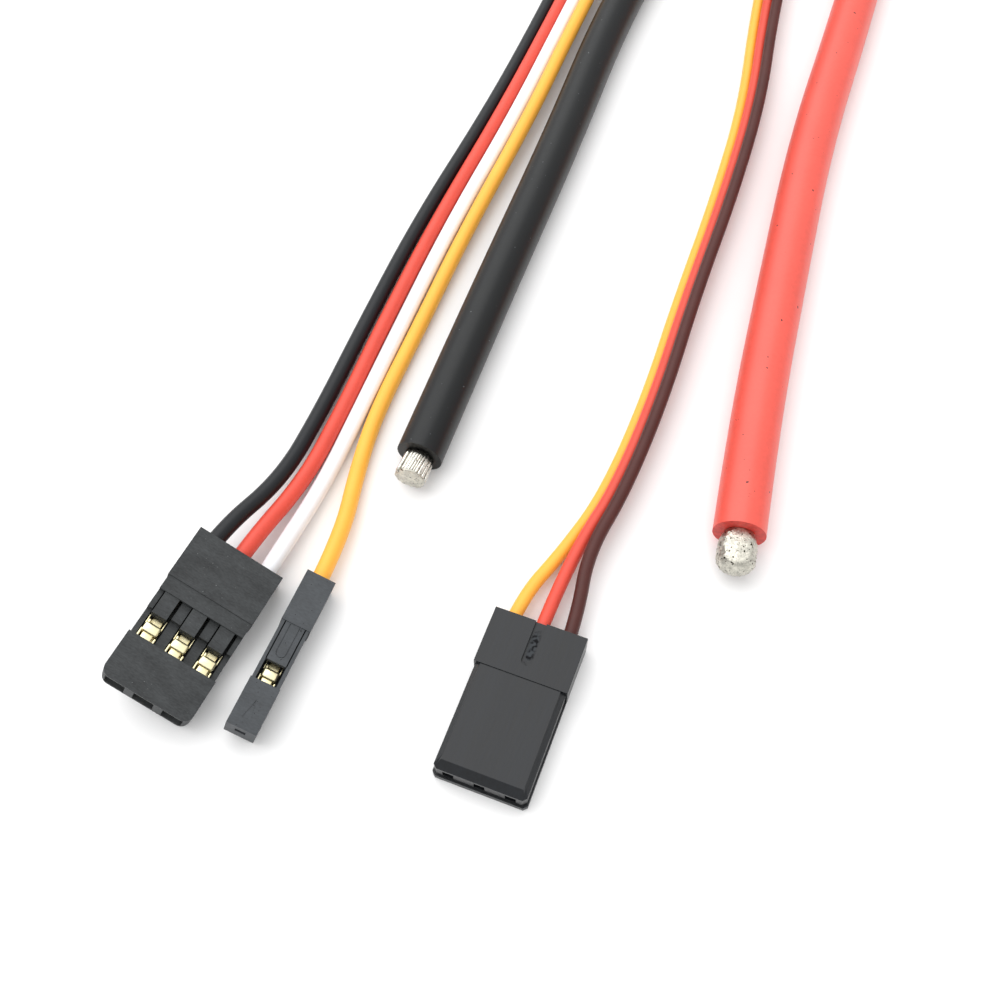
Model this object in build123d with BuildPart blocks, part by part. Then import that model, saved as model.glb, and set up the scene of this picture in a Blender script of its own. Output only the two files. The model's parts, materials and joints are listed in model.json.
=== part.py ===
"""Electronic speed controller for a brushless motor, with its battery and signal leads.

Millimetres. The origin is the middle of the case's flat base, +Z is up, and +Y runs along the case
from the lead end to the motor end. The leads lie on the surface that the case stands on.
"""

import os
from math import cos, pi, radians, sin, tan

from build123d import *

os.makedirs("parts", exist_ok=True)

# Case
CASE_WIDTH = 38.0
CASE_LENGTH = 78.0
CASE_HEIGHT = 16.1
CASE_WALL = 1.6
CASE_FLOOR = 1.4
CASE_CORNER = 3.0
LEAD_END = Plane.XZ.offset(CASE_LENGTH / 2)
MOTOR_END = Plane.XZ.offset(-CASE_LENGTH / 2)
RIM = 1.2  # how far grommets and sockets stand out of the end walls
CLEARANCE = 0.05  # radial gap of parts that slip into each other
PAD_SIZE = 3.0  # square pads on the floor that carry the control board
PAD_Y = -7.0
PAD_SPACING = (22.0, 46.0)
LOOSE = 0.15  # radial gap of screws in plain holes
BOTTOM_CHAMFER = 0.5

# Case screws, M2.5
SCREW_X = 15.6
SCREW_Y = 34.9
SCREW_RADIUS = 1.2
SCREW_HEAD_RADIUS = 2.3
SCREW_HEAD_HEIGHT = 1.5
SCREW_LENGTH = 8.0
SCREW_HOLE_DEPTH = 6.5
SCREW_SOCKET = 0.9  # radius and depth of the hexagon in its head
SCREW_HEAD_FILLET = 0.6
SCREW_POCKET = 0.5  # how far the fins stand clear of a screw's head
BOSS_RADIUS = 2.2
BOSS_BOTTOM = 9.0

# Boards
CONTROL_BOTTOM = 2.2
CONTROL_TOP = 3.2
CONTROL_WIDTH = 26.0
CONTROL_FRONT = -36.0
CONTROL_BACK = 20.0
CONTROL_FRONT_WIDTH = 33.6  # as far back as CONTROL_STEP
CONTROL_STEP = -20.0
POWER_BOTTOM = 8.4
POWER_TOP = 10.0
POWER_WIDTH = 33.6
POWER_FRONT = -20.5
POWER_BACK = 29.0
POST_X = 15.4
POST_RADIUS = 1.2
POST_Y = 5.0
POST_SPACING = 42.0
MOSFET_Y = 8.5
MOSFET_WIDTH = 6.0
MOSFET_LENGTH = 5.0
MOSFET_PITCH = (7.2, 6.4)
SHUNT_Y = -13.2
SHUNT_WIDTH = 6.3
SHUNT_LENGTH = 3.2
SHUNT_HEIGHT = 0.6
SHUNT_PITCH = 9.0
CHIP_CHAMFER = 0.15
CHIP_HEIGHT = 1.0
PAD_THICKNESS = 0.6
HEADER_X = 10.5
HEADER_Y = 8.0
HEADER_HEIGHT = 2.5
HEADER_WIDTH = 2.5
HEADER_PINS = 6
PIN_SIZE = 0.64

# Capacitors, lying over the battery leads
CAPACITOR_Y = -21.5
CAPACITOR_Z = 12.0
CAPACITOR_RADIUS = 4.0
CAPACITOR_LENGTH = 15.0
CAPACITOR_PITCH = 8.4
CAPACITOR_FILLET = 0.5
LEG_PITCH = 3.5
LEG_RADIUS = 0.3
LEG_LENGTH = 3.5
LEG_JOINT_OFFSET = 2.8  # from the capacitors' rear ends to the middle of the joints
LEG_JOINT_RADIUS = 0.8
LEG_JOINT_HEIGHT = 2.2
LEG_JOINT_TAPER = 12

# Heat sink
SINK_BASE = 2.4
SINK_TOP = CASE_HEIGHT + SINK_BASE
PEDESTAL_WIDTH = 29.0
PEDESTAL_FRONT = -16.0
PEDESTAL_BACK = 28.0
FIN_HEIGHT = 7.5
FIN_THICKNESS = 1.2
FIN_PITCH = 3.0
FIN_COUNT = 13

# Fan, 30 mm
FAN_Y = 8.0
FAN_SIZE = 30.0
FAN_BOTTOM = SINK_TOP + 1.0
FAN_HEIGHT = 6.5
FAN_TOP = FAN_BOTTOM + FAN_HEIGHT
FAN_CORNER = 2.4
FAN_DUCT_RADIUS = 14.2
FAN_HOLE_PITCH = 24.0
FAN_SCREW_RADIUS = 1.0
FAN_SCREW_LENGTH = 9.0
FAN_SCREW_HEAD_RADIUS = 1.75
FAN_SCREW_HEAD_HEIGHT = 1.2
FAN_COUNTERBORE = 1.4
FAN_HUB_RADIUS = 6.9
FAN_BLADES = 7
FAN_BLADE_RADIUS = 13.6
FAN_SHAFT_RADIUS = 0.75
FAN_FLOOR = 1.0
FAN_CUP_WALL = 0.7
FAN_CUP_DEPTH = 3.4
FAN_TUBE_RADIUS = 2.2
FAN_TUBE_HEIGHT = 4.4
FAN_SLEEVE_RADIUS = 1.5
FAN_ROTOR_BOTTOM = FAN_BOTTOM + 1.3
FAN_ROTOR_TOP = FAN_TOP - 0.5
FAN_STRUTS = 3
FAN_STRUT_WIDTH = 1.8
FAN_POCKET_GAP = 0.3
FAN_FIN_HOLE_DEPTH = 5.0
FAN_SLOT = (2.4, 0.5, 0.7)  # length, width and depth of the cross in a screw's head
FAN_SLEEVE_START = 0.3  # heights over the fan's bottom
FAN_SLEEVE_LENGTH = 4.0
FAN_TUBE_BORE = 4.2
FAN_RUNNING_GAP = 0.03
FAN_STATOR_START = 1.5
FAN_STATOR_HEIGHT = 2.2
FAN_STATOR_RADIUS = 5.1
FAN_STATOR_TEETH = 4
FAN_STATOR_SLOT = (2.6, 1.0)
FAN_STATOR_SLOT_MIDDLE = 4.0
FAN_MAGNET_BORE = 5.4
FAN_MAGNET_HEIGHT = 2.6
FAN_SHAFT_START = 0.4
FAN_BLADE_THICKNESS = 0.6
FAN_BLADE_Z = 3.6
FAN_BLADE_ROOT = (FAN_HUB_RADIUS - 0.4, 5.0, 42)  # radius, chord, pitch
FAN_BLADE_TIP = (FAN_BLADE_RADIUS + 0.4, 8.4, 27)
FAN_CUP_FILLET = 0.6

# Motor outlets, for 4 mm bullet plugs
SOCKET_PITCH = 10.0
SOCKET_Z = 5.5
SOCKET_BORE_RADIUS = 2.0
SOCKET_BORE_DEPTH = 12.0
SOCKET_RADIUS = 2.8
SOCKET_RIM_RADIUS = 3.3
SOCKET_INNER_END = 24.8
HOLDER_WIDTH = 31.0
HOLDER_LENGTH = 5.0
HOLDER_TOP = 8.9
MOTOR_JOINT_WIDTH = 4.4
MOTOR_JOINT_LENGTH = 3.0
MOTOR_JOINT_HEIGHT = 4.6

# Battery leads, about 12 AWG in silicone
BLACK_LEAD_RADIUS = 2.05
RED_LEAD_RADIUS = 2.25
LEAD_Z = 5.6
BLACK_X = -5.6
RED_X = 12.0
CONDUCTOR_RADIUS = 1.35
INNER_END_RADIUS = 1.5
INNER_END_LENGTH = 17.0
LEAD_PAD = (4.2, 7.0, 1.0)  # width, length and corner radius of the solder under the power board
GROMMET_INNER_FLANGE = 0.8
GROMMET_FILLET = 0.4
BORE_DEPTH = 5.0  # cuts every grommet through
SOLDERED_RADIUS = 1.55
LEAD_INNER_END = -31.0
LEAD_PAD_Y = -15.5  # where the inner ends are soldered to the power board
NECK = 0.65  # how much thicker than its lead a grommet is in the wall
FLANGE = 1.15  # and outside it

# Signal leads
RIBBON_WIRE_RADIUS = 0.725
RIBBON_PITCH = 1.6
RIBBON_X = -13.4
SUPPLY_WIRE_RADIUS = 0.575
SUPPLY_PITCH = 1.3
SUPPLY_X = 3.5
SIGNAL_Z = 4.2
SIGNAL_INNER_END = -32.0
RIBBON_NECK = 6.9
SUPPLY_NECK = 4.8
NECK_HEIGHT = 2.4
NECK_CORNER = 1.0
FLAT_FLANGE = (1.1, 1.2, 1.5)  # extra width and height and the corner radius outside the wall
FLAT_FILLET = 0.3
SIGNAL_JOINT_OFFSET = 0.8
SIGNAL_JOINT_LENGTH = 1.6
SIGNAL_JOINT_HEIGHT = 1.7
RIBBON_JOINT_WIDTH = 1.2
SUPPLY_JOINT_WIDTH = 1.1
LIGHT_X = -0.9
LIGHT_Z = 4.4
LIGHT_RADIUS = 0.9
LIGHT_PIPE_START = 34.9
LIGHT_PIPE_RIM = 0.3

# Plugs: 2.54 mm pitch for 0.64 mm square pins. Lengths along a plug count from its wire end.
PIN_PITCH = 2.54
PLUG_LENGTH = 14.0
PLUG_HEIGHT = 2.54
RECEIVER_WIDTH = 7.8
RECEIVER_CORNER = 0.8
RPM_WIDTH = PIN_PITCH
SUPPLY_WIDTH = 7.85
SUPPLY_HEIGHT = 2.7
CAVITY_WIDTH = 1.7
CAVITY_BOTTOM = 0.35
CAVITY_TOP = 2.15
MOUTH_START = 13.1
MOUTH_WIDTH = 1.75
MOUTH_BOTTOM = 0.3
MOUTH_TOP = 2.3
STRIP_START = 4.7
STRIP_DEPTH = 0.08
WINDOW_START = 6.0
NOTCH_START = 7.6
NOTCH_HEIGHT = 1.4
WINDOW_HEIGHT = 1.95
WINDOW_END = 10.1
TONGUE_WIDTH = 1.3
TONGUE_SHIFT = -0.08
TONGUE_BOTTOM = 1.8
TONGUE_TOP = 2.35
TONGUE_END = 7.95
TONGUE_ROOT = 0.5  # how far a tongue reaches back into the roof
HOOK_START = 7.35
HOOK_BOTTOM = 0.85
SHORT_CAVITY_END = 11.0  # in the one-way and the smooth plug
PIN_ENTRY = 0.9
PIN_ENTRY_HEIGHT = 0.65
RPM_WINDOW_START = 8.15
RPM_WINDOW_END = 9.95
RPM_ROOF = 0.2  # how much thicker than the other plugs' its roof is
RPM_SLIT_X = 0.88
RPM_SLIT_WIDTH = 0.1
RPM_SLIT_BOTTOM = 1.6
RPM_LATCH_Y = -5.9
RPM_LATCH = (3.6, 0.9)  # length and width of the engraved U
RPM_LATCH_LINE = 0.08
RPM_LATCH_DEPTH = 0.14
RPM_LATCH_OPEN_Y = -4.2
RPM_LATCH_OPEN = (2.0, 1.2)
RPM_MARK_Y = -12.6
RPM_MARK = (0.8, 1.7)  # base and sides of the triangle
RPM_MARK_DEPTH = 0.05
RPM_PIN_ENTRY_BOTTOM = 1.2
SUPPLY_STEP = 4.9
SUPPLY_FLANGE = 0.6
SUPPLY_COVER = 1.5
SUPPLY_CORNER = 0.3
SUPPLY_LIP = 0.15  # how far the flange stands out in front of the cover
SUPPLY_COVER_INSET = 0.25
SUPPLY_COVER_OVERLAP = 0.4
SUPPLY_TOP_INSET = 1.15
SUPPLY_TOP_DROP = 0.1
SUPPLY_TOP_FRONT = 0.7  # length of the bevel at the front
SUPPLY_CAVITY_BOTTOM = 0.45
SUPPLY_CAVITY_HEIGHT = 1.8
SUPPLY_ENTRY_BOTTOM = 0.9
GROOVE = (4.0, 0.9)  # length and width of the thumb groove
GROOVE_Y = -1.9
GROOVE_DEPTH = 0.3
GROOVE_MOUTH = (0.9, 1.4)

# Crimp contacts
CONTACT_WIDTH = 1.5
CONTACT_FLOOR = 0.55
CONTACT_TOP = 1.95
CONTACT_SHEET = 0.14
CRIMP_START = 3.0
CRIMP_WIDTH = 1.25
CRIMP_HEIGHT = 1.2
WING_START = 6.7
WING_END = 6.9
BOX_START = 8.55
BOX_END = 13.0
DOME_LENGTH = 0.95
DOME_HEIGHT = 0.2
DOME_INSET = 0.1
FLOOR_WIDTH = 1.1
FLOOR_HEIGHT = 0.2
WING_X = 0.6
BOX_SLOT_X = 0.5
BOX_SLOT_DEPTH = 0.5
BOX_ENTRY_BOTTOM = 0.95
BOX_ENTRY_HEIGHT = 0.5
BOX_BACK = 0.5
SHORT_BOX_END = SHORT_CAVITY_END - 0.1


def plug_frame(x, y, turn, width=0.0, roll=0.0, nose_up=0.0):
    """The plane of a plug that rests on the surface: origin under the middle of its wire end, +y out of it.

    A rolled plug stands on one long edge, so its middle is lifted by half its width's slope.
    """
    lift = width / 2 * sin(radians(roll)) * cos(radians(nose_up))
    return Plane(Location((x, y, lift)) * Rot(Z=turn) * Rot(X=-nose_up) * Rot(Y=roll))


def along(start, end):
    """Middle and length of a stretch of a plug, in the plug's frame."""
    return -(start + end) / 2, end - start


RECEIVER_FRAME = plug_frame(-55.9, -159.6, -25.8, RECEIVER_WIDTH, roll=21.8, nose_up=2.0)
RPM_FRAME = plug_frame(-49.25, -161.4, -21.6, RPM_WIDTH, roll=16.7, nose_up=2.0)
SUPPLY_FRAME = plug_frame(-30.66, -165.62, -20.9)


# Lower case: an open tray with screw bosses in its upper corners and supports for both boards
with BuildPart() as case_base:
    with BuildSketch():
        RectangleRounded(CASE_WIDTH, CASE_LENGTH, CASE_CORNER)
    extrude(amount=CASE_HEIGHT)
    bottom_edges = case_base.faces().sort_by(Axis.Z)[0].edges()
    chamfer(bottom_edges, length=BOTTOM_CHAMFER)
    with BuildSketch(Plane.XY.offset(CASE_FLOOR)):
        RectangleRounded(CASE_WIDTH - 2 * CASE_WALL, CASE_LENGTH - 2 * CASE_WALL, CASE_CORNER - CASE_WALL)
    extrude(amount=CASE_HEIGHT, mode=Mode.SUBTRACT)
    with BuildSketch(Plane.XY.offset(BOSS_BOTTOM)):
        with GridLocations(2 * SCREW_X, 2 * SCREW_Y, 2, 2):
            Circle(BOSS_RADIUS)
    extrude(amount=CASE_HEIGHT - BOSS_BOTTOM)
    with Locations((0, 0, CASE_HEIGHT)):
        with GridLocations(2 * SCREW_X, 2 * SCREW_Y, 2, 2):
            Hole(SCREW_RADIUS, depth=SCREW_HOLE_DEPTH)
    with BuildSketch(Plane.XY.offset(CASE_FLOOR)):
        with Locations((0, PAD_Y)):
            with GridLocations(*PAD_SPACING, 2, 2):
                Rectangle(PAD_SIZE, PAD_SIZE)
    extrude(amount=CONTROL_BOTTOM - CASE_FLOOR)
    with BuildSketch(Plane.XY.offset(CASE_FLOOR)):
        with Locations((0, POST_Y)):
            with GridLocations(2 * POST_X, POST_SPACING, 2, 2):
                Circle(POST_RADIUS)
    extrude(amount=POWER_BOTTOM - CASE_FLOOR)
    with BuildSketch(LEAD_END):
        with Locations((BLACK_X, LEAD_Z)):
            Circle(BLACK_LEAD_RADIUS + NECK + CLEARANCE)
        with Locations((RED_X, LEAD_Z)):
            Circle(RED_LEAD_RADIUS + NECK + CLEARANCE)
        with Locations((RIBBON_X, SIGNAL_Z)):
            RectangleRounded(RIBBON_NECK + 2 * CLEARANCE, NECK_HEIGHT + 2 * CLEARANCE, NECK_CORNER)
        with Locations((SUPPLY_X, SIGNAL_Z)):
            RectangleRounded(SUPPLY_NECK + 2 * CLEARANCE, NECK_HEIGHT + 2 * CLEARANCE, NECK_CORNER)
        with Locations((LIGHT_X, LIGHT_Z)):
            Circle(LIGHT_RADIUS)
    extrude(amount=-2 * CASE_WALL, mode=Mode.SUBTRACT)
    with BuildSketch(MOTOR_END):
        with Locations((0, SOCKET_Z)):
            with GridLocations(SOCKET_PITCH, 0, 3, 1):
                Circle(SOCKET_RADIUS + CLEARANCE)
    extrude(amount=2 * CASE_WALL, mode=Mode.SUBTRACT)
case_base.part.label = "case_base"
export_step(case_base.part, "parts/case_base.step")

# Heat sink: base plate, pedestal down to the transistors, fins along the case, pocket for the fan
with BuildPart() as heat_sink:
    with BuildSketch(Plane.XY.offset(CASE_HEIGHT)):
        RectangleRounded(CASE_WIDTH, CASE_LENGTH, CASE_CORNER)
    extrude(amount=SINK_BASE)
    with BuildSketch(Plane.XY.offset(POWER_TOP + CHIP_HEIGHT + PAD_THICKNESS)):
        with Locations((0, (PEDESTAL_FRONT + PEDESTAL_BACK) / 2)):
            Rectangle(PEDESTAL_WIDTH, PEDESTAL_BACK - PEDESTAL_FRONT)
    extrude(until=Until.NEXT)
    with BuildSketch(Plane.XY.offset(SINK_TOP)):
        with GridLocations(FIN_PITCH, 0, FIN_COUNT, 1):
            Rectangle(FIN_THICKNESS, CASE_LENGTH)
        RectangleRounded(CASE_WIDTH, CASE_LENGTH, CASE_CORNER, mode=Mode.INTERSECT)
    extrude(amount=FIN_HEIGHT)
    with BuildSketch(Plane.XY.offset(FAN_BOTTOM)):
        with Locations((0, FAN_Y)):
            Rectangle(FAN_SIZE + 2 * FAN_POCKET_GAP, FAN_SIZE + 2 * FAN_POCKET_GAP)
    extrude(amount=FIN_HEIGHT, mode=Mode.SUBTRACT)
    with BuildSketch(Plane.XY.offset(SINK_TOP)):
        with GridLocations(2 * SCREW_X, 2 * SCREW_Y, 2, 2):
            Circle(SCREW_HEAD_RADIUS + SCREW_POCKET)
    extrude(amount=FIN_HEIGHT, mode=Mode.SUBTRACT)
    with Locations((0, 0, SINK_TOP)):
        with GridLocations(2 * SCREW_X, 2 * SCREW_Y, 2, 2):
            Hole(SCREW_RADIUS + LOOSE, depth=SINK_BASE)
    with Locations((0, FAN_Y, FAN_BOTTOM)):
        with GridLocations(FAN_HOLE_PITCH, FAN_HOLE_PITCH, 2, 2):
            Hole(FAN_SCREW_RADIUS, depth=FAN_FIN_HOLE_DEPTH)
heat_sink.part.label = "heat_sink"
export_step(heat_sink.part, "parts/heat_sink.step")

# Four pan-head screws that hold the heat sink to the case
with BuildPart() as case_screws:
    with BuildSketch(Plane.XY.offset(SINK_TOP)):
        with GridLocations(2 * SCREW_X, 2 * SCREW_Y, 2, 2):
            Circle(SCREW_HEAD_RADIUS)
    extrude(amount=SCREW_HEAD_HEIGHT)
    fillet(case_screws.edges().group_by(Axis.Z)[-1], radius=SCREW_HEAD_FILLET)
    with BuildSketch(Plane.XY.offset(SINK_TOP)):
        with GridLocations(2 * SCREW_X, 2 * SCREW_Y, 2, 2):
            Circle(SCREW_RADIUS)
    extrude(amount=-SCREW_LENGTH)
    with BuildSketch(Plane.XY.offset(SINK_TOP + SCREW_HEAD_HEIGHT)):
        with GridLocations(2 * SCREW_X, 2 * SCREW_Y, 2, 2):
            RegularPolygon(SCREW_SOCKET, 6)
    extrude(amount=-SCREW_SOCKET, mode=Mode.SUBTRACT)
case_screws.part.label = "case_screws"
export_step(case_screws.part, "parts/case_screws.step")

# Fan frame: square duct with a hub on three struts and the bearing tube
with BuildPart() as fan_frame:
    with BuildSketch(Plane.XY.offset(FAN_BOTTOM)):
        with Locations((0, FAN_Y)):
            RectangleRounded(FAN_SIZE, FAN_SIZE, FAN_CORNER)
            Circle(FAN_DUCT_RADIUS, mode=Mode.SUBTRACT)
    extrude(amount=FAN_HEIGHT)
    with BuildSketch(Plane.XY.offset(FAN_BOTTOM)):
        with Locations((0, FAN_Y)):
            Circle(FAN_HUB_RADIUS - 0.4)
            with PolarLocations(FAN_DUCT_RADIUS / 2 + 0.4, FAN_STRUTS, start_angle=30):
                Rectangle(FAN_DUCT_RADIUS, FAN_STRUT_WIDTH)
    extrude(amount=FAN_FLOOR)
    with BuildSketch(Plane.XY.offset(FAN_BOTTOM)):
        with Locations((0, FAN_Y)):
            Circle(FAN_TUBE_RADIUS)
    extrude(amount=FAN_TUBE_HEIGHT)
    with Locations((0, FAN_Y, FAN_BOTTOM + FAN_TUBE_HEIGHT)):
        Hole(FAN_SLEEVE_RADIUS, depth=FAN_TUBE_BORE)
    with Locations((0, FAN_Y, FAN_TOP)):
        with GridLocations(FAN_HOLE_PITCH, FAN_HOLE_PITCH, 2, 2):
            shank = FAN_SCREW_RADIUS + LOOSE
            head = FAN_SCREW_HEAD_RADIUS + LOOSE
            CounterBoreHole(shank, head, FAN_COUNTERBORE, FAN_HEIGHT)
fan_frame.part.label = "fan_frame"
export_step(fan_frame.part, "parts/fan_frame.step")

# Four screws that hold the fan down on the short fins
with BuildPart() as fan_screws:
    with BuildSketch(Plane.XY.offset(FAN_TOP - FAN_COUNTERBORE)):
        with Locations((0, FAN_Y)):
            with GridLocations(FAN_HOLE_PITCH, FAN_HOLE_PITCH, 2, 2):
                Circle(FAN_SCREW_HEAD_RADIUS)
    extrude(amount=FAN_SCREW_HEAD_HEIGHT)
    with BuildSketch(Plane.XY.offset(FAN_TOP - FAN_COUNTERBORE)):
        with Locations((0, FAN_Y)):
            with GridLocations(FAN_HOLE_PITCH, FAN_HOLE_PITCH, 2, 2):
                Circle(FAN_SCREW_RADIUS)
    extrude(amount=-FAN_SCREW_LENGTH)
    with BuildSketch(Plane.XY.offset(FAN_TOP - FAN_COUNTERBORE + FAN_SCREW_HEAD_HEIGHT)):
        with Locations((0, FAN_Y)):
            with GridLocations(FAN_HOLE_PITCH, FAN_HOLE_PITCH, 2, 2):
                Rectangle(FAN_SLOT[0], FAN_SLOT[1])
                Rectangle(FAN_SLOT[1], FAN_SLOT[0])
    extrude(amount=-FAN_SLOT[2], mode=Mode.SUBTRACT)
fan_screws.part.label = "fan_screws"
export_step(fan_screws.part, "parts/fan_screws.step")

# Sleeve bearing pressed into the frame's tube
with BuildPart() as fan_bearing:
    with BuildSketch(Plane.XY.offset(FAN_BOTTOM + FAN_SLEEVE_START)):
        with Locations((0, FAN_Y)):
            Circle(FAN_SLEEVE_RADIUS)
            Circle(FAN_SHAFT_RADIUS + FAN_RUNNING_GAP, mode=Mode.SUBTRACT)
    extrude(amount=FAN_SLEEVE_LENGTH)
fan_bearing.part.label = "fan_bearing"
export_step(fan_bearing.part, "parts/fan_bearing.step")

# Stator: laminated core with four teeth round the bearing tube
with BuildPart() as fan_stator:
    with BuildSketch(Plane.XY.offset(FAN_BOTTOM + FAN_STATOR_START)):
        with Locations((0, FAN_Y)):
            Circle(FAN_STATOR_RADIUS)
            with PolarLocations(FAN_STATOR_SLOT_MIDDLE, FAN_STATOR_TEETH, start_angle=45):
                Rectangle(*FAN_STATOR_SLOT, mode=Mode.SUBTRACT)
            Circle(FAN_TUBE_RADIUS, mode=Mode.SUBTRACT)
    extrude(amount=FAN_STATOR_HEIGHT)
fan_stator.part.label = "fan_stator"
export_step(fan_stator.part, "parts/fan_stator.step")

# Magnet ring inside the rotor's cup
with BuildPart() as fan_magnet_ring:
    with BuildSketch(Plane.XY.offset(FAN_ROTOR_BOTTOM + 0.1)):
        with Locations((0, FAN_Y)):
            Circle(FAN_HUB_RADIUS - FAN_CUP_WALL)
            Circle(FAN_MAGNET_BORE, mode=Mode.SUBTRACT)
    extrude(amount=FAN_MAGNET_HEIGHT)
fan_magnet_ring.part.label = "fan_magnet_ring"
export_step(fan_magnet_ring.part, "parts/fan_magnet_ring.step")

# Shaft fixed in the rotor
with BuildPart() as fan_shaft:
    with BuildSketch(Plane.XY.offset(FAN_BOTTOM + FAN_SHAFT_START)):
        with Locations((0, FAN_Y)):
            Circle(FAN_SHAFT_RADIUS)
    extrude(amount=FAN_ROTOR_TOP - 0.5 - FAN_BOTTOM - FAN_SHAFT_START)
fan_shaft.part.label = "fan_shaft"
export_step(fan_shaft.part, "parts/fan_shaft.step")

# One blade, lofted from a steep root to a flatter tip and cut to the duct's circle
with BuildPart() as blade:
    for radius, chord, pitch in (FAN_BLADE_ROOT, FAN_BLADE_TIP):
        with BuildSketch(Plane.YZ.offset(radius)):
            with Locations((0, FAN_BOTTOM + FAN_BLADE_Z)):
                Rectangle(chord, FAN_BLADE_THICKNESS, rotation=pitch)
    loft()
    with BuildSketch(Plane.XY.offset(FAN_BOTTOM)):
        Circle(FAN_BLADE_RADIUS)
    extrude(amount=FAN_HEIGHT, mode=Mode.INTERSECT)

# Rotor: cup, boss for the shaft and the blades
with BuildPart() as fan_rotor:
    with BuildSketch(Plane.XY.offset(FAN_ROTOR_BOTTOM)):
        with Locations((0, FAN_Y)):
            Circle(FAN_HUB_RADIUS)
    extrude(amount=FAN_ROTOR_TOP - FAN_ROTOR_BOTTOM)
    fillet(fan_rotor.edges().group_by(Axis.Z)[-1], radius=FAN_CUP_FILLET)
    with BuildSketch(Plane.XY.offset(FAN_ROTOR_BOTTOM)):
        with Locations((0, FAN_Y)):
            Circle(FAN_HUB_RADIUS - FAN_CUP_WALL)
    extrude(amount=FAN_CUP_DEPTH, mode=Mode.SUBTRACT)
    with Locations((0, FAN_Y)):
        with PolarLocations(0, FAN_BLADES):
            add(blade.part)
    with BuildSketch(Plane.XY.offset(FAN_ROTOR_BOTTOM)):
        with Locations((0, FAN_Y)):
            Circle(FAN_HUB_RADIUS - FAN_CUP_WALL)
    extrude(amount=FAN_CUP_DEPTH, mode=Mode.SUBTRACT)
    with BuildSketch(Plane.XY.offset(FAN_ROTOR_BOTTOM)):
        with Locations((0, FAN_Y)):
            Circle(FAN_SHAFT_RADIUS)
    extrude(amount=FAN_ROTOR_TOP - 0.5 - FAN_ROTOR_BOTTOM, mode=Mode.SUBTRACT)
fan_rotor.part.label = "fan_rotor"
export_step(fan_rotor.part, "parts/fan_rotor.step")

# Power board on its four posts
with BuildPart() as power_board:
    with BuildSketch(Plane.XY.offset(POWER_BOTTOM)):
        with Locations((0, (POWER_FRONT + POWER_BACK) / 2)):
            Rectangle(POWER_WIDTH, POWER_BACK - POWER_FRONT)
    extrude(amount=POWER_TOP - POWER_BOTTOM)
power_board.part.label = "power_board"
export_step(power_board.part, "parts/power_board.step")

# Transistors, eight for each motor phase, in a grid
with BuildPart() as mosfets:
    with BuildSketch(Plane.XY.offset(POWER_TOP)):
        with Locations((0, MOSFET_Y)):
            with GridLocations(*MOSFET_PITCH, 4, 6):
                Rectangle(MOSFET_WIDTH, MOSFET_LENGTH)
    extrude(amount=CHIP_HEIGHT)
mosfets.part.label = "mosfets"
export_step(mosfets.part, "parts/mosfets.step")

# Current shunts beside the capacitors' joints
with BuildPart() as current_shunts:
    with BuildSketch(Plane.XY.offset(POWER_TOP)):
        with Locations((0, SHUNT_Y)):
            with GridLocations(SHUNT_PITCH, 0, 3, 1):
                Rectangle(SHUNT_WIDTH, SHUNT_LENGTH)
    extrude(amount=SHUNT_HEIGHT)
current_shunts.part.label = "current_shunts"
export_step(current_shunts.part, "parts/current_shunts.step")

# Heat-conducting pad between the transistors and the heat sink's pedestal
with BuildPart() as thermal_pad:
    with BuildSketch(Plane.XY.offset(POWER_TOP + CHIP_HEIGHT)):
        with Locations((0, (PEDESTAL_FRONT + PEDESTAL_BACK) / 2)):
            Rectangle(PEDESTAL_WIDTH, PEDESTAL_BACK - PEDESTAL_FRONT)
    extrude(amount=PAD_THICKNESS)
thermal_pad.part.label = "thermal_pad"
export_step(thermal_pad.part, "parts/thermal_pad.step")

# Control board on the case floor's pads
with BuildPart() as control_board:
    with BuildSketch(Plane.XY.offset(CONTROL_BOTTOM)):
        with Locations((0, (CONTROL_FRONT + CONTROL_BACK) / 2)):
            Rectangle(CONTROL_WIDTH, CONTROL_BACK - CONTROL_FRONT)
        with Locations((0, (CONTROL_FRONT + CONTROL_STEP) / 2)):
            Rectangle(CONTROL_FRONT_WIDTH, CONTROL_STEP - CONTROL_FRONT)
    extrude(amount=CONTROL_TOP - CONTROL_BOTTOM)
control_board.part.label = "control_board"
export_step(control_board.part, "parts/control_board.step")

# Chips and coil on the control board: name, middle, width, length, height
CONTROL_PARTS = (
    ("microcontroller", ((0, 9),), 7.0, 7.0, 1.0),
    ("gate_drivers", ((-6, 0), (0, 0), (6, 0)), 4.0, 4.0, 0.9),
    ("supply_regulator", ((-1, -22),), 4.0, 5.0, 1.2),
    ("supply_inductor", ((2.8, -14),), 6.8, 6.8, 3.8),
    ("status_light", ((LIGHT_X, -34.4),), 1.6, 0.8, 1.6),
)
for name, middles, width, length, height in CONTROL_PARTS:
    with BuildPart() as control_part:
        with BuildSketch(Plane.XY.offset(CONTROL_TOP)):
            with Locations(*middles):
                Rectangle(width, length)
        extrude(amount=height)
        chamfer(control_part.edges().group_by(Axis.Z)[-1], length=CHIP_CHAMFER)
    control_part.part.label = name
    export_step(control_part.part, f"parts/{name}.step")

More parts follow.
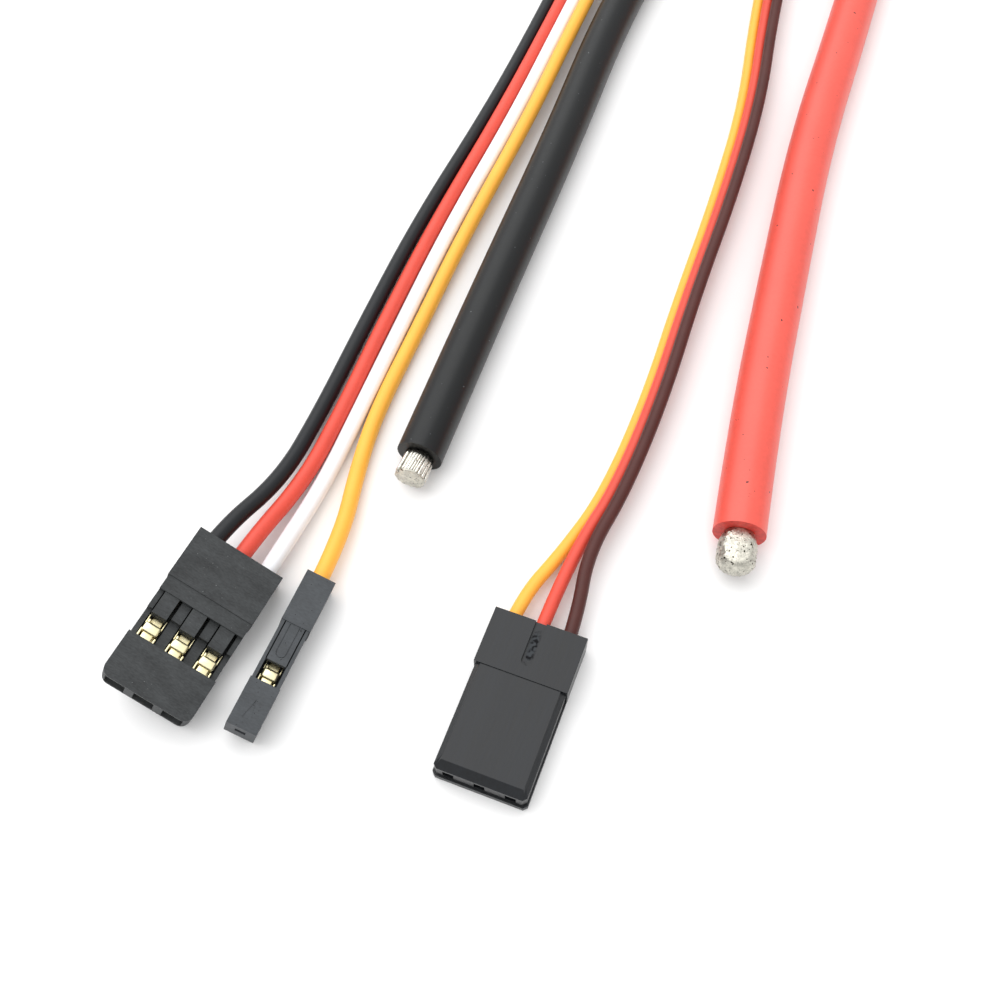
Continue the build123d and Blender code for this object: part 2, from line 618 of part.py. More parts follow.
# Two pin headers that join the boards
with BuildPart() as board_headers:
    with BuildSketch(Plane.XY.offset(CONTROL_TOP)):
        with Locations((0, HEADER_Y)):
            with GridLocations(2 * HEADER_X, 0, 2, 1):
                Rectangle(HEADER_WIDTH, HEADER_PINS * PIN_PITCH)
    extrude(amount=HEADER_HEIGHT)
    with BuildSketch(Plane.XY.offset(CONTROL_TOP)):
        with Locations((0, HEADER_Y)):
            with GridLocations(2 * HEADER_X, PIN_PITCH, 2, HEADER_PINS):
                Rectangle(PIN_SIZE, PIN_SIZE)
    extrude(amount=POWER_BOTTOM - CONTROL_TOP)
board_headers.part.label = "board_headers"
export_step(board_headers.part, "parts/board_headers.step")

# Three electrolytic capacitors lying over the battery leads
with BuildPart() as capacitors:
    with BuildSketch(Plane.XZ.offset(-CAPACITOR_Y)):
        with Locations((0, CAPACITOR_Z)):
            with GridLocations(CAPACITOR_PITCH, 0, 3, 1):
                Circle(CAPACITOR_RADIUS)
    extrude(amount=CAPACITOR_LENGTH)
    fillet(capacitors.edges().group_by(Axis.Y)[0], radius=CAPACITOR_FILLET)
capacitors.part.label = "capacitors"
export_step(capacitors.part, "parts/capacitors.step")

# Their legs, bent down into solder on the power board's front edge
with BuildPart() as capacitor_joints:
    with BuildSketch(Plane.XZ.offset(-CAPACITOR_Y)):
        with Locations((0, CAPACITOR_Z)):
            with GridLocations(CAPACITOR_PITCH, 0, 3, 1):
                with GridLocations(LEG_PITCH, 0, 2, 1):
                    Circle(LEG_RADIUS)
    extrude(amount=-LEG_LENGTH)
    with BuildSketch(Plane.XY.offset(POWER_TOP)):
        with Locations((0, CAPACITOR_Y + LEG_JOINT_OFFSET)):
            with GridLocations(CAPACITOR_PITCH, 0, 3, 1):
                with GridLocations(LEG_PITCH, 0, 2, 1):
                    Circle(LEG_JOINT_RADIUS)
    extrude(amount=LEG_JOINT_HEIGHT, taper=LEG_JOINT_TAPER)
capacitor_joints.part.label = "capacitor_joints"
export_step(capacitor_joints.part, "parts/capacitor_joints.step")

# Battery leads' bare ends inside the case, soldered up to the power board's underside
with BuildPart() as battery_joints:
    with BuildSketch(Plane.XZ.offset(-LEAD_INNER_END)):
        with Locations((BLACK_X, LEAD_Z), (RED_X, LEAD_Z)):
            Circle(INNER_END_RADIUS)
    extrude(amount=-INNER_END_LENGTH)
    with BuildSketch(Plane.XY.offset(LEAD_Z)):
        with Locations((BLACK_X, LEAD_PAD_Y), (RED_X, LEAD_PAD_Y)):
            RectangleRounded(*LEAD_PAD)
    extrude(amount=POWER_BOTTOM - LEAD_Z)
battery_joints.part.label = "battery_joints"
export_step(battery_joints.part, "parts/battery_joints.step")

# Solder where the seven signal wires end on the control board
with BuildPart() as signal_joints:
    with BuildSketch(Plane.XY.offset(CONTROL_TOP)):
        with Locations((RIBBON_X, SIGNAL_INNER_END + SIGNAL_JOINT_OFFSET)):
            with GridLocations(RIBBON_PITCH, 0, 4, 1):
                Rectangle(RIBBON_JOINT_WIDTH, SIGNAL_JOINT_LENGTH)
        with Locations((SUPPLY_X, SIGNAL_INNER_END + SIGNAL_JOINT_OFFSET)):
            with GridLocations(SUPPLY_PITCH, 0, 3, 1):
                Rectangle(SUPPLY_JOINT_WIDTH, SIGNAL_JOINT_LENGTH)
    extrude(amount=SIGNAL_JOINT_HEIGHT)
signal_joints.part.label = "signal_joints"
export_step(signal_joints.part, "parts/signal_joints.step")

# Light pipe from the status light to the front wall
with BuildPart() as light_pipe:
    with BuildSketch(Plane.XZ.offset(LIGHT_PIPE_START)):
        with Locations((LIGHT_X, LIGHT_Z)):
            Circle(LIGHT_RADIUS)
    extrude(amount=CASE_LENGTH / 2 + LIGHT_PIPE_RIM - LIGHT_PIPE_START)
    fillet(light_pipe.edges().group_by(Axis.Y)[0], radius=LIGHT_PIPE_RIM)
light_pipe.part.label = "light_pipe"
export_step(light_pipe.part, "parts/light_pipe.step")

# Round rubber grommets of the battery leads: flange, neck in the wall, flange
for name, lead_x, lead_radius in (
    ("black_lead_grommet", BLACK_X, BLACK_LEAD_RADIUS),
    ("red_lead_grommet", RED_X, RED_LEAD_RADIUS),
):
    with BuildPart() as lead_grommet:
        with BuildSketch(LEAD_END):
            with Locations((lead_x, LEAD_Z)):
                Circle(lead_radius + FLANGE)
        extrude(amount=RIM)
        fillet(lead_grommet.edges().group_by(Axis.Y)[0], radius=GROMMET_FILLET)
        with BuildSketch(LEAD_END):
            with Locations((lead_x, LEAD_Z)):
                Circle(lead_radius + NECK)
        extrude(amount=-CASE_WALL)
        with BuildSketch(LEAD_END.offset(-CASE_WALL)):
            with Locations((lead_x, LEAD_Z)):
                Circle(lead_radius + FLANGE)
        extrude(amount=-GROMMET_INNER_FLANGE)
        with BuildSketch(LEAD_END.offset(RIM)):
            with Locations((lead_x, LEAD_Z)):
                Circle(lead_radius)
        extrude(amount=-BORE_DEPTH, mode=Mode.SUBTRACT)
    lead_grommet.part.label = name
    export_step(lead_grommet.part, f"parts/{name}.step")

# Flat grommets of the signal leads: name, middle, width, wires, pitch, wire radius
FLAT_GROMMETS = (
    ("ribbon_grommet", RIBBON_X, RIBBON_NECK, 4, RIBBON_PITCH, RIBBON_WIRE_RADIUS),
    ("supply_grommet", SUPPLY_X, SUPPLY_NECK, 3, SUPPLY_PITCH, SUPPLY_WIRE_RADIUS),
)
for name, middle, width, wires, pitch, wire_radius in FLAT_GROMMETS:
    with BuildPart() as flat_grommet:
        with BuildSketch(LEAD_END):
            with Locations((middle, SIGNAL_Z)):
                RectangleRounded(width + FLAT_FLANGE[0], NECK_HEIGHT + FLAT_FLANGE[1], FLAT_FLANGE[2])
        extrude(amount=RIM)
        fillet(flat_grommet.edges().group_by(Axis.Y)[0], radius=FLAT_FILLET)
        with BuildSketch(LEAD_END):
            with Locations((middle, SIGNAL_Z)):
                RectangleRounded(width, NECK_HEIGHT, NECK_CORNER)
        extrude(amount=-CASE_WALL)
        with BuildSketch(LEAD_END.offset(RIM)):
            with Locations((middle, SIGNAL_Z)):
                with GridLocations(pitch, 0, wires, 1):
                    Circle(wire_radius)
        extrude(amount=-BORE_DEPTH, mode=Mode.SUBTRACT)
    flat_grommet.part.label = name
    export_step(flat_grommet.part, f"parts/{name}.step")

# Motor outlet sockets: a rim outside the wall, a blind bore for the plug, a solid inner end
for phase in range(3):
    with BuildPart() as motor_socket:
        with BuildSketch(MOTOR_END):
            with Locations(((phase - 1) * SOCKET_PITCH, SOCKET_Z)):
                Circle(SOCKET_RIM_RADIUS)
        extrude(amount=-RIM)
        with BuildSketch(MOTOR_END):
            with Locations(((phase - 1) * SOCKET_PITCH, SOCKET_Z)):
                Circle(SOCKET_RADIUS)
        extrude(amount=CASE_LENGTH / 2 - SOCKET_INNER_END)
        with BuildSketch(MOTOR_END.offset(-RIM)):
            with Locations(((phase - 1) * SOCKET_PITCH, SOCKET_Z)):
                Circle(SOCKET_BORE_RADIUS)
        extrude(amount=SOCKET_BORE_DEPTH, mode=Mode.SUBTRACT)
    name = f"motor_socket_{phase + 1}"
    motor_socket.part.label = name
    export_step(motor_socket.part, f"parts/{name}.step")

# Moulded block that holds the sockets behind the wall
with BuildPart() as socket_holder:
    with BuildSketch(MOTOR_END.offset(CASE_WALL)):
        with Locations((0, (CASE_FLOOR + HOLDER_TOP) / 2)):
            Rectangle(HOLDER_WIDTH, HOLDER_TOP - CASE_FLOOR)
        with Locations((0, SOCKET_Z)):
            with GridLocations(SOCKET_PITCH, 0, 3, 1):
                Circle(SOCKET_RADIUS, mode=Mode.SUBTRACT)
    extrude(amount=HOLDER_LENGTH)
socket_holder.part.label = "socket_holder"
export_step(socket_holder.part, "parts/socket_holder.step")

# Solder from each socket's inner end up to the power board
with BuildPart() as motor_joints:
    with BuildSketch(Plane.XY.offset(POWER_BOTTOM)):
        with Locations((0, SOCKET_INNER_END - MOTOR_JOINT_LENGTH / 2)):
            with GridLocations(SOCKET_PITCH, 0, 3, 1):
                Rectangle(MOTOR_JOINT_WIDTH, MOTOR_JOINT_LENGTH)
    extrude(amount=-MOTOR_JOINT_HEIGHT)
motor_joints.part.label = "motor_joints"
export_step(motor_joints.part, "parts/motor_joints.step")

# Three-way plug: closed wire end, window over the contacts, latch tongues, open front
with BuildPart() as receiver_housing:
    with BuildSketch(RECEIVER_FRAME):
        with Locations((0, -PLUG_LENGTH / 2)):
            outline = Rectangle(RECEIVER_WIDTH, PLUG_LENGTH)
        fillet(outline.vertices().group_by(Axis.Y)[0], radius=RECEIVER_CORNER)
        middle, length = along(STRIP_START, WINDOW_END)
        with Locations((-RECEIVER_WIDTH / 2, middle), (RECEIVER_WIDTH / 2, middle)):
            Rectangle(2 * STRIP_DEPTH, length, mode=Mode.SUBTRACT)
    extrude(amount=PLUG_HEIGHT)
    for start, end, height in (
        (STRIP_START, WINDOW_START, PLUG_HEIGHT - STRIP_DEPTH),
        (WINDOW_START, WINDOW_END, WINDOW_HEIGHT),
        (NOTCH_START, WINDOW_END, NOTCH_HEIGHT),
    ):
        middle, length = along(start, end)
        with BuildSketch(RECEIVER_FRAME.offset(height)):
            with Locations((0, middle)):
                Rectangle(RECEIVER_WIDTH, length)
        extrude(amount=PLUG_HEIGHT, mode=Mode.SUBTRACT)
    with BuildSketch(RECEIVER_FRAME.offset(CAVITY_BOTTOM)):
        with Locations((0, -PLUG_LENGTH / 2)):
            with GridLocations(PIN_PITCH, 0, 3, 1):
                Rectangle(CAVITY_WIDTH, PLUG_LENGTH)
    extrude(amount=CAVITY_TOP - CAVITY_BOTTOM, mode=Mode.SUBTRACT)
    middle, length = along(MOUTH_START, PLUG_LENGTH)
    with BuildSketch(RECEIVER_FRAME.offset(MOUTH_BOTTOM)):
        with Locations((0, middle)):
            with GridLocations(PIN_PITCH, 0, 3, 1):
                Rectangle(MOUTH_WIDTH, length)
    extrude(amount=MOUTH_TOP - MOUTH_BOTTOM, mode=Mode.SUBTRACT)
    for start, bottom in ((WINDOW_START - TONGUE_ROOT, TONGUE_BOTTOM), (HOOK_START, HOOK_BOTTOM)):
        middle, length = along(start, TONGUE_END)
        with BuildSketch(RECEIVER_FRAME.offset(bottom)):
            with Locations((TONGUE_SHIFT, middle)):
                with GridLocations(PIN_PITCH, 0, 3, 1):
                    Rectangle(TONGUE_WIDTH, length)
        extrude(amount=TONGUE_TOP - bottom)
receiver_housing.part.label = "receiver_housing"
export_step(receiver_housing.part, "parts/receiver_housing.step")

# One-way plug: closed wire end, one flush latch tongue with an engraved U, small window, pin hole
with BuildPart() as rpm_housing:
    with BuildSketch(RPM_FRAME):
        with Locations((0, -PLUG_LENGTH / 2)):
            Rectangle(RPM_WIDTH, PLUG_LENGTH)
        middle, length = along(STRIP_START, RPM_WINDOW_END)
        with Locations((-RPM_WIDTH / 2, middle), (RPM_WIDTH / 2, middle)):
            Rectangle(2 * STRIP_DEPTH, length, mode=Mode.SUBTRACT)
    extrude(amount=PLUG_HEIGHT)
    with BuildSketch(RPM_FRAME.offset(PLUG_HEIGHT - STRIP_DEPTH)):
        with Locations((0, middle)):
            Rectangle(RPM_WIDTH, length)
    extrude(amount=PLUG_HEIGHT, mode=Mode.SUBTRACT)
    middle, length = along(0, SHORT_CAVITY_END)
    with BuildSketch(RPM_FRAME.offset(CAVITY_BOTTOM)):
        with Locations((0, middle)):
            Rectangle(CAVITY_WIDTH, length)
    extrude(amount=CAVITY_TOP - CAVITY_BOTTOM - RPM_ROOF, mode=Mode.SUBTRACT)
    middle, length = along(RPM_WINDOW_START, RPM_WINDOW_END)
    with BuildSketch(RPM_FRAME.offset(CAVITY_BOTTOM)):
        with Locations((0, middle)):
            Rectangle(CAVITY_WIDTH + 2 * CLEARANCE, length)
    extrude(amount=PLUG_HEIGHT, mode=Mode.SUBTRACT)
    middle, length = along(STRIP_START, RPM_WINDOW_START)
    with BuildSketch(RPM_FRAME.offset(RPM_SLIT_BOTTOM)):
        with Locations((-RPM_SLIT_X, middle), (RPM_SLIT_X, middle)):
            Rectangle(RPM_SLIT_WIDTH, length)
    extrude(amount=PLUG_HEIGHT, mode=Mode.SUBTRACT)
    latch_length, latch_width = RPM_LATCH
    with BuildSketch(RPM_FRAME.offset(PLUG_HEIGHT - RPM_LATCH_DEPTH)):
        with Locations((0, RPM_LATCH_Y)):
            SlotOverall(latch_length, latch_width, rotation=90)
            inner_length = latch_length - 2 * RPM_LATCH_LINE
            inner_width = latch_width - 2 * RPM_LATCH_LINE
            SlotOverall(inner_length, inner_width, rotation=90, mode=Mode.SUBTRACT)
        with Locations((0, RPM_LATCH_OPEN_Y)):
            Rectangle(*RPM_LATCH_OPEN, mode=Mode.SUBTRACT)
    extrude(amount=PLUG_HEIGHT, mode=Mode.SUBTRACT)
    mark_base, mark_side = RPM_MARK
    with BuildSketch(RPM_FRAME.offset(PLUG_HEIGHT - RPM_MARK_DEPTH)):
        with Locations((0, RPM_MARK_Y)):
            Triangle(a=mark_base, b=mark_side, c=mark_side)
    extrude(amount=1, mode=Mode.SUBTRACT)
    middle, length = along(SHORT_CAVITY_END - 1, PLUG_LENGTH)
    with BuildSketch(RPM_FRAME.offset(RPM_PIN_ENTRY_BOTTOM)):
        with Locations((0, middle)):
            Rectangle(PIN_ENTRY, length)
    extrude(amount=PIN_ENTRY_HEIGHT, mode=Mode.SUBTRACT)
rpm_housing.part.label = "rpm_housing"
export_step(rpm_housing.part, "parts/rpm_housing.step")

# Smooth three-way plug: thicker wire end with a thumb groove, bevelled cover, thin flange below
with BuildPart() as supply_housing:
    with BuildSketch(SUPPLY_FRAME):
        with Locations((0, -PLUG_LENGTH / 2)):
            outline = Rectangle(SUPPLY_WIDTH, PLUG_LENGTH)
        chamfer(outline.vertices().group_by(Axis.Y)[0], length=SUPPLY_CORNER)
    extrude(amount=SUPPLY_FLANGE)
    middle, length = along(0, SUPPLY_STEP)
    with BuildSketch(SUPPLY_FRAME.offset(SUPPLY_FLANGE)):
        with Locations((0, middle)):
            Rectangle(SUPPLY_WIDTH, length)
    extrude(amount=SUPPLY_HEIGHT - SUPPLY_FLANGE)
    middle, length = along(SUPPLY_STEP, PLUG_LENGTH - SUPPLY_LIP)
    with BuildSketch(SUPPLY_FRAME.offset(SUPPLY_FLANGE)):
        with Locations((0, middle)):
            cover = Rectangle(SUPPLY_WIDTH - SUPPLY_COVER_INSET, length)
        chamfer(cover.vertices().group_by(Axis.Y)[0], length=SUPPLY_CORNER)
    extrude(amount=SUPPLY_COVER)
    middle, length = along(SUPPLY_STEP - SUPPLY_COVER_OVERLAP, PLUG_LENGTH - SUPPLY_LIP)
    with BuildSketch(SUPPLY_FRAME.offset(SUPPLY_FLANGE + SUPPLY_COVER)):
        with Locations((0, middle)):
            cover = Rectangle(SUPPLY_WIDTH - SUPPLY_COVER_INSET, length)
        chamfer(cover.vertices().group_by(Axis.Y)[0], length=SUPPLY_CORNER)
    with BuildSketch(SUPPLY_FRAME.offset(SUPPLY_HEIGHT - SUPPLY_TOP_DROP)):
        with Locations((0, middle + SUPPLY_TOP_FRONT / 2)):
            Rectangle(SUPPLY_WIDTH - SUPPLY_TOP_INSET, length - SUPPLY_TOP_FRONT)
    loft()
    with BuildSketch(SUPPLY_FRAME.offset(SUPPLY_HEIGHT - GROOVE_DEPTH)):
        with Locations((0, GROOVE_Y)):
            SlotOverall(*GROOVE, rotation=90)
        with Locations((0, -GROOVE_MOUTH[1] / 2)):
            Rectangle(*GROOVE_MOUTH)
    extrude(amount=1, mode=Mode.SUBTRACT)
    middle, length = along(0, SHORT_CAVITY_END)
    with BuildSketch(SUPPLY_FRAME.offset(SUPPLY_CAVITY_BOTTOM)):
        with Locations((0, middle)):
            with GridLocations(PIN_PITCH, 0, 3, 1):
                Rectangle(CAVITY_WIDTH, length)
    extrude(amount=SUPPLY_CAVITY_HEIGHT, mode=Mode.SUBTRACT)
    with BuildSketch(SUPPLY_FRAME.offset(SUPPLY_ENTRY_BOTTOM)):
        with Locations((0, -PLUG_LENGTH / 2)):
            with GridLocations(PIN_PITCH, 0, 3, 1):
                Rectangle(PIN_ENTRY, PLUG_LENGTH)
    extrude(amount=PIN_ENTRY, mode=Mode.SUBTRACT)
supply_housing.part.label = "supply_housing"
export_step(supply_housing.part, "parts/supply_housing.step")

# Crimp contacts: crimped barrel, two wings, then the box that takes the pin.
# Name, frame, offset across the plug, end of the box
CONTACTS = (
    ("receiver_contact_1", RECEIVER_FRAME, -PIN_PITCH, BOX_END),
    ("receiver_contact_2", RECEIVER_FRAME, 0, BOX_END),
    ("receiver_contact_3", RECEIVER_FRAME, PIN_PITCH, BOX_END),
    ("rpm_contact", RPM_FRAME, 0, SHORT_BOX_END),
    ("supply_contact_1", SUPPLY_FRAME, -PIN_PITCH, SHORT_BOX_END),
    ("supply_contact_2", SUPPLY_FRAME, 0, SHORT_BOX_END),
    ("supply_contact_3", SUPPLY_FRAME, PIN_PITCH, SHORT_BOX_END),
)
for name, frame, across, box_end in CONTACTS:
    with BuildPart() as contact:
        middle, length = along(CRIMP_START, WING_START)
        with BuildSketch(frame.offset(CONTACT_FLOOR)):
            with Locations((across, middle)):
                Rectangle(CRIMP_WIDTH, length)
        extrude(amount=CRIMP_HEIGHT)
        middle, length = along(WING_START, box_end)
        with BuildSketch(frame.offset(CONTACT_FLOOR)):
            with Locations((across, middle)):
                Rectangle(FLOOR_WIDTH, length)
        extrude(amount=FLOOR_HEIGHT)
        middle, length = along(WING_START, WING_END)
        with BuildSketch(frame.offset(CONTACT_FLOOR)):
            with Locations((across - WING_X, middle), (across + WING_X, middle)):
                Rectangle(CONTACT_SHEET, length)
        extrude(amount=CRIMP_HEIGHT)
        middle, length = along(BOX_START, box_end)
        with BuildSketch(frame.offset(CONTACT_FLOOR)):
            with Locations((across, middle)):
                Rectangle(CONTACT_WIDTH, length)
        extrude(amount=CRIMP_HEIGHT)
        middle, length = along(BOX_START, BOX_START + DOME_LENGTH)
        with BuildSketch(frame.offset(CONTACT_FLOOR + CRIMP_HEIGHT)):
            with Locations((across, middle)):
                Rectangle(CONTACT_WIDTH - DOME_INSET, length)
        extrude(amount=DOME_HEIGHT)
        middle, length = along(BOX_START + DOME_LENGTH, box_end)
        with BuildSketch(frame.offset(CONTACT_TOP - BOX_SLOT_DEPTH)):
            with Locations((across - BOX_SLOT_X, middle), (across + BOX_SLOT_X, middle)):
                Rectangle(CONTACT_SHEET, length)
        extrude(amount=1, mode=Mode.SUBTRACT)
        middle, length = along(BOX_START + BOX_BACK, box_end)
        with BuildSketch(frame.offset(BOX_ENTRY_BOTTOM)):
            with Locations((across, middle)):
                Rectangle(PIN_ENTRY, length)
        extrude(amount=BOX_ENTRY_HEIGHT, mode=Mode.SUBTRACT)
    contact.part.label = name
    export_step(contact.part, f"parts/{name}.step")

# Routes of the leads, from inside the case to the far end. Each is chosen by hand; the wires of a
# flat lead run side by side and part before their plug.
BLACK_LEAD = (
    (-5.6, -31.0, 5.6),
    (-5.6, -48.0, 5.6),
    (-9.9, -65.0, 3.6),
    (-15.7, -80.5, 2.1),
    (-22.0, -95.0, 2.1),
    (-27.9, -113.0, 2.1),
    (-35.0, -132.6, 2.1),
    (-41.0, -149.8, 2.1),
)
RED_LEAD = (
    (12.0, -31.0, 5.6),
    (12.0, -48.0, 5.6),
    (11.5, -65.0, 3.8),
    (8.8, -80.5, 2.3),
    (4.0, -95.0, 2.3),
    (-2.5, -113.0, 2.3),
    (-7.6, -131.5, 2.3),
    (-11.6, -146.5, 2.3),
    (-14.0, -157.5, 2.3),
)
RIBBON_BLACK = (
    (-15.8, -32.0, 4.2),
    (-15.8, -48.0, 4.2),
    (-19.2, -63.5, 2.8),
    (-24.3, -79.0, 1.1),
    (-30.3, -95.0, 0.8),
    (-35.3, -107.5, 0.8),
    (-41.9, -122.0, 0.8),
    (-46.7, -134.8, 0.8),
    (-50.1, -144.5, 0.9),
    (-52.75, -152.2, 2.2),
    (-57.13, -157.81, 3.52),
    (-58.88, -161.41, 3.65),
)
RIBBON_RED = (
    (-14.2, -32.0, 4.2),
    (-14.2, -48.0, 4.2),
    (-17.7, -64.0, 3.2),
    (-22.9, -79.6, 1.6),
    (-29.0, -95.6, 1.3),
    (-33.9, -108.0, 1.2),
    (-40.3, -122.5, 0.95),
    (-45.0, -135.0, 0.8),
    (-48.2, -144.4, 0.85),
    (-50.9, -151.9, 1.45),
    (-54.89, -158.6, 2.57),
    (-56.77, -162.46, 2.71),
)
RIBBON_WHITE = (
    (-12.6, -32.0, 4.2),
    (-12.6, -48.0, 4.2),
    (-16.2, -64.5, 3.6),
    (-21.5, -80.2, 2.1),
    (-27.7, -96.2, 1.8),
    (-32.4, -108.5, 1.6),
    (-38.8, -123.0, 1.15),
    (-43.4, -135.3, 0.8),
    (-46.6, -144.3, 0.8),
    (-49.3, -151.9, 0.9),
    (-52.49, -159.02, 1.59),
    (-54.66, -163.52, 1.77),
)
RIBBON_YELLOW = (
    (-11.0, -32.0, 4.2),
    (-11.0, -48.0, 4.2),
    (-14.7, -65.0, 4.0),
    (-20.1, -80.8, 2.6),
    (-26.4, -96.8, 2.3),
    (-30.9, -109.0, 2.0),
    (-37.2, -123.5, 1.35),
    (-41.7, -135.4, 0.8),
    (-45.0, -144.2, 0.8),
    (-46.4, -150.0, 0.8),
    (-47.44, -157.77, 1.37),
    (-50.02, -164.28, 1.62),
)
SUPPLY_YELLOW = (
    (2.2, -32.0, 4.2),
    (2.2, -48.0, 4.2),
    (0.5, -64.0, 2.4),
    (-2.6, -79.2, 0.8),
    (-6.0, -93.6, 0.6),
    (-8.4, -106.2, 0.6),
    (-12.6, -119.6, 0.6),
    (-17.0, -131.8, 0.6),
    (-20.7, -143.0, 0.6),
    (-24.95, -152.9, 0.6),
    (-28.7, -158.4, 0.75),
    (-32.4, -163.05, 1.25),
    (-34.1, -167.52, 1.35),
)
SUPPLY_RED = (
    (3.5, -32.0, 4.2),
    (3.5, -48.0, 4.2),
    (1.7, -64.1, 2.9),
    (-1.5, -79.4, 1.6),
    (-5.1, -94.0, 1.4),
    (-7.6, -106.6, 1.4),
    (-11.9, -120.0, 1.5),
    (-16.3, -132.0, 1.55),
    (-20.1, -143.4, 1.55),
    (-24.0, -152.7, 1.6),
    (-27.1, -157.7, 1.55),
    (-29.8, -163.38, 1.35),
    (-31.73, -168.42, 1.35),
)
SUPPLY_BROWN = (
    (4.8, -32.0, 4.2),
    (4.8, -48.0, 4.2),
    (2.9, -64.2, 3.4),
    (-0.3, -79.6, 2.35),
    (-4.3, -94.4, 2.25),
    (-6.9, -107.0, 2.3),
    (-11.2, -120.4, 2.45),
    (-15.6, -132.2, 2.55),
    (-19.4, -143.8, 2.5),
    (-23.3, -153.3, 2.45),
    (-26.7, -159.2, 2.25),
    (-27.7, -164.6, 1.4),
    (-29.36, -169.33, 1.35),
)
CORDS = (
    ("black_lead", BLACK_LEAD, BLACK_LEAD_RADIUS),
    ("red_lead", RED_LEAD, RED_LEAD_RADIUS),
    ("ribbon_black", RIBBON_BLACK, RIBBON_WIRE_RADIUS),
    ("ribbon_red", RIBBON_RED, RIBBON_WIRE_RADIUS),
    ("ribbon_white", RIBBON_WHITE, RIBBON_WIRE_RADIUS),
    ("ribbon_yellow", RIBBON_YELLOW, RIBBON_WIRE_RADIUS),
    ("supply_yellow", SUPPLY_YELLOW, SUPPLY_WIRE_RADIUS),
    ("supply_red", SUPPLY_RED, SUPPLY_WIRE_RADIUS),
    ("supply_brown", SUPPLY_BROWN, SUPPLY_WIRE_RADIUS),
)


def corner_radii(points):
    """Largest arc each corner of a route allows: 0.45 of its shorter run over tan(half its turn)."""
    radii = []
    for before, corner, after in zip(points, points[1:], points[2:]):
        arriving = Vector(*corner) - Vector(*before)
        leaving = Vector(*after) - Vector(*corner)
        half_turn = radians(arriving.get_angle(leaving)) / 2
        radii.append(0.45 * min(arriving.length, leaving.length) / tan(half_turn))
    return radii


for name, points, radius in CORDS:
    radii = corner_radii(points)
    with BuildPart() as cord:
        with BuildLine() as route:
            FilletPolyline(*points, radius=radii)
        with BuildSketch(Plane(points[0], z_dir=Vector(*points[1]) - Vector(*points[0]))):
            Circle(radius)
        sweep(path=route.wires()[0])
    cord.part.label = name
    export_step(cord.part, f"parts/{name}.step")
    length = route.wires()[0].length
    filled = cord.part.volume / (pi * radius**2 * length)
    rounded = ", ".join(f"{r:.0f}" for r in radii)
    print(f"{name}: {length:.1f} mm, volume {filled:.4f} of section x length, radii {rounded}")

# Bare ends of the battery leads: cut flat on the black one, rounded over with solder on the red one
BARE_ENDS = (
    ("black_lead_end", BLACK_LEAD, CONDUCTOR_RADIUS, 2.4, 0.15),
    ("red_lead_end", RED_LEAD, SOLDERED_RADIUS, 3.4, 0.8),
)
for name, points, radius, length, rounding in BARE_ENDS:
    with BuildPart() as bare_end:
        with BuildSketch(Plane(points[-1], z_dir=Vector(*points[-1]) - Vector(*points[-2]))):
            Circle(radius)
        extrude(amount=length)
        fillet(bare_end.edges().sort_by(Axis.Y)[0], radius=rounding)
    bare_end.part.label = name
    export_step(bare_end.part, f"parts/{name}.step")
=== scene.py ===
import json
from math import cos, pi, radians, sin, sqrt
from random import Random

import bmesh
import bpy
from mathutils import Matrix, Vector, noise


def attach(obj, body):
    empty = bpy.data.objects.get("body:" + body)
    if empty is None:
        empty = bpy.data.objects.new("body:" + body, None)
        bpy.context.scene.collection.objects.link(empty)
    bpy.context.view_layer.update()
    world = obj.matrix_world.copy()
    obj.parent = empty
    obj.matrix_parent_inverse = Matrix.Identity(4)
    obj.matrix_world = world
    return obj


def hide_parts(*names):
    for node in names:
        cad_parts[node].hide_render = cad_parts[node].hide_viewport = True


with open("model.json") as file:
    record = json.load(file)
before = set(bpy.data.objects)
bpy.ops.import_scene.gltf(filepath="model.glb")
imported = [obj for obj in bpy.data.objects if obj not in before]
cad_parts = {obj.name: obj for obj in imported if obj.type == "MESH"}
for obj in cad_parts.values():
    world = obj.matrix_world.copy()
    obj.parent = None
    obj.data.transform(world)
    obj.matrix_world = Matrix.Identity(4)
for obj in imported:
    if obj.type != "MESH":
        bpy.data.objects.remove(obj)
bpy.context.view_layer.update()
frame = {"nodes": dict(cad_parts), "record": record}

MM = 0.001
BODY = "controller"

# Camera: close above the lead ends, looking down at them past the plugs' front
LOOK_AT = Vector((-34.0, -153.0, 0.0)) * MM
CAMERA_AT = Vector((-34.0, -202.9, 91.8)) * MM
LENS = 43.2
SENSOR_WIDTH = 36.0
NEAREST_SEEN = 0.005

# Plugs where they lie, as the CAD has them, in millimetres and degrees
PIN_PITCH = 2.54
RECEIVER_WIDTH = 7.8
RECEIVER_TURN = -25.8
RPM_TURN = -21.6
SUPPLY_TURN = -20.9
NOSE_UP = 2.0

BLACK = (0.0, 0.0, 0.0, 1.0)
WHITE = (1.0, 1.0, 1.0, 1.0)


def plug_matrix(x, y, turn, width=0.0, roll=0.0, nose_up=0.0):
    """From a plug's own millimetres (x across, y out of its wire end, z up) to the frame's metres.

    A plug width wide and rolled by roll rests on one long edge; nose_up lifts its front end.
    """
    lift = width / 2 * sin(radians(roll)) * cos(radians(nose_up))
    place = Matrix.Translation((x, y, lift)) @ Matrix.Rotation(radians(turn), 4, "Z")
    tilt = Matrix.Rotation(radians(-nose_up), 4, "X") @ Matrix.Rotation(radians(roll), 4, "Y")
    return Matrix.Scale(MM, 4) @ place @ tilt


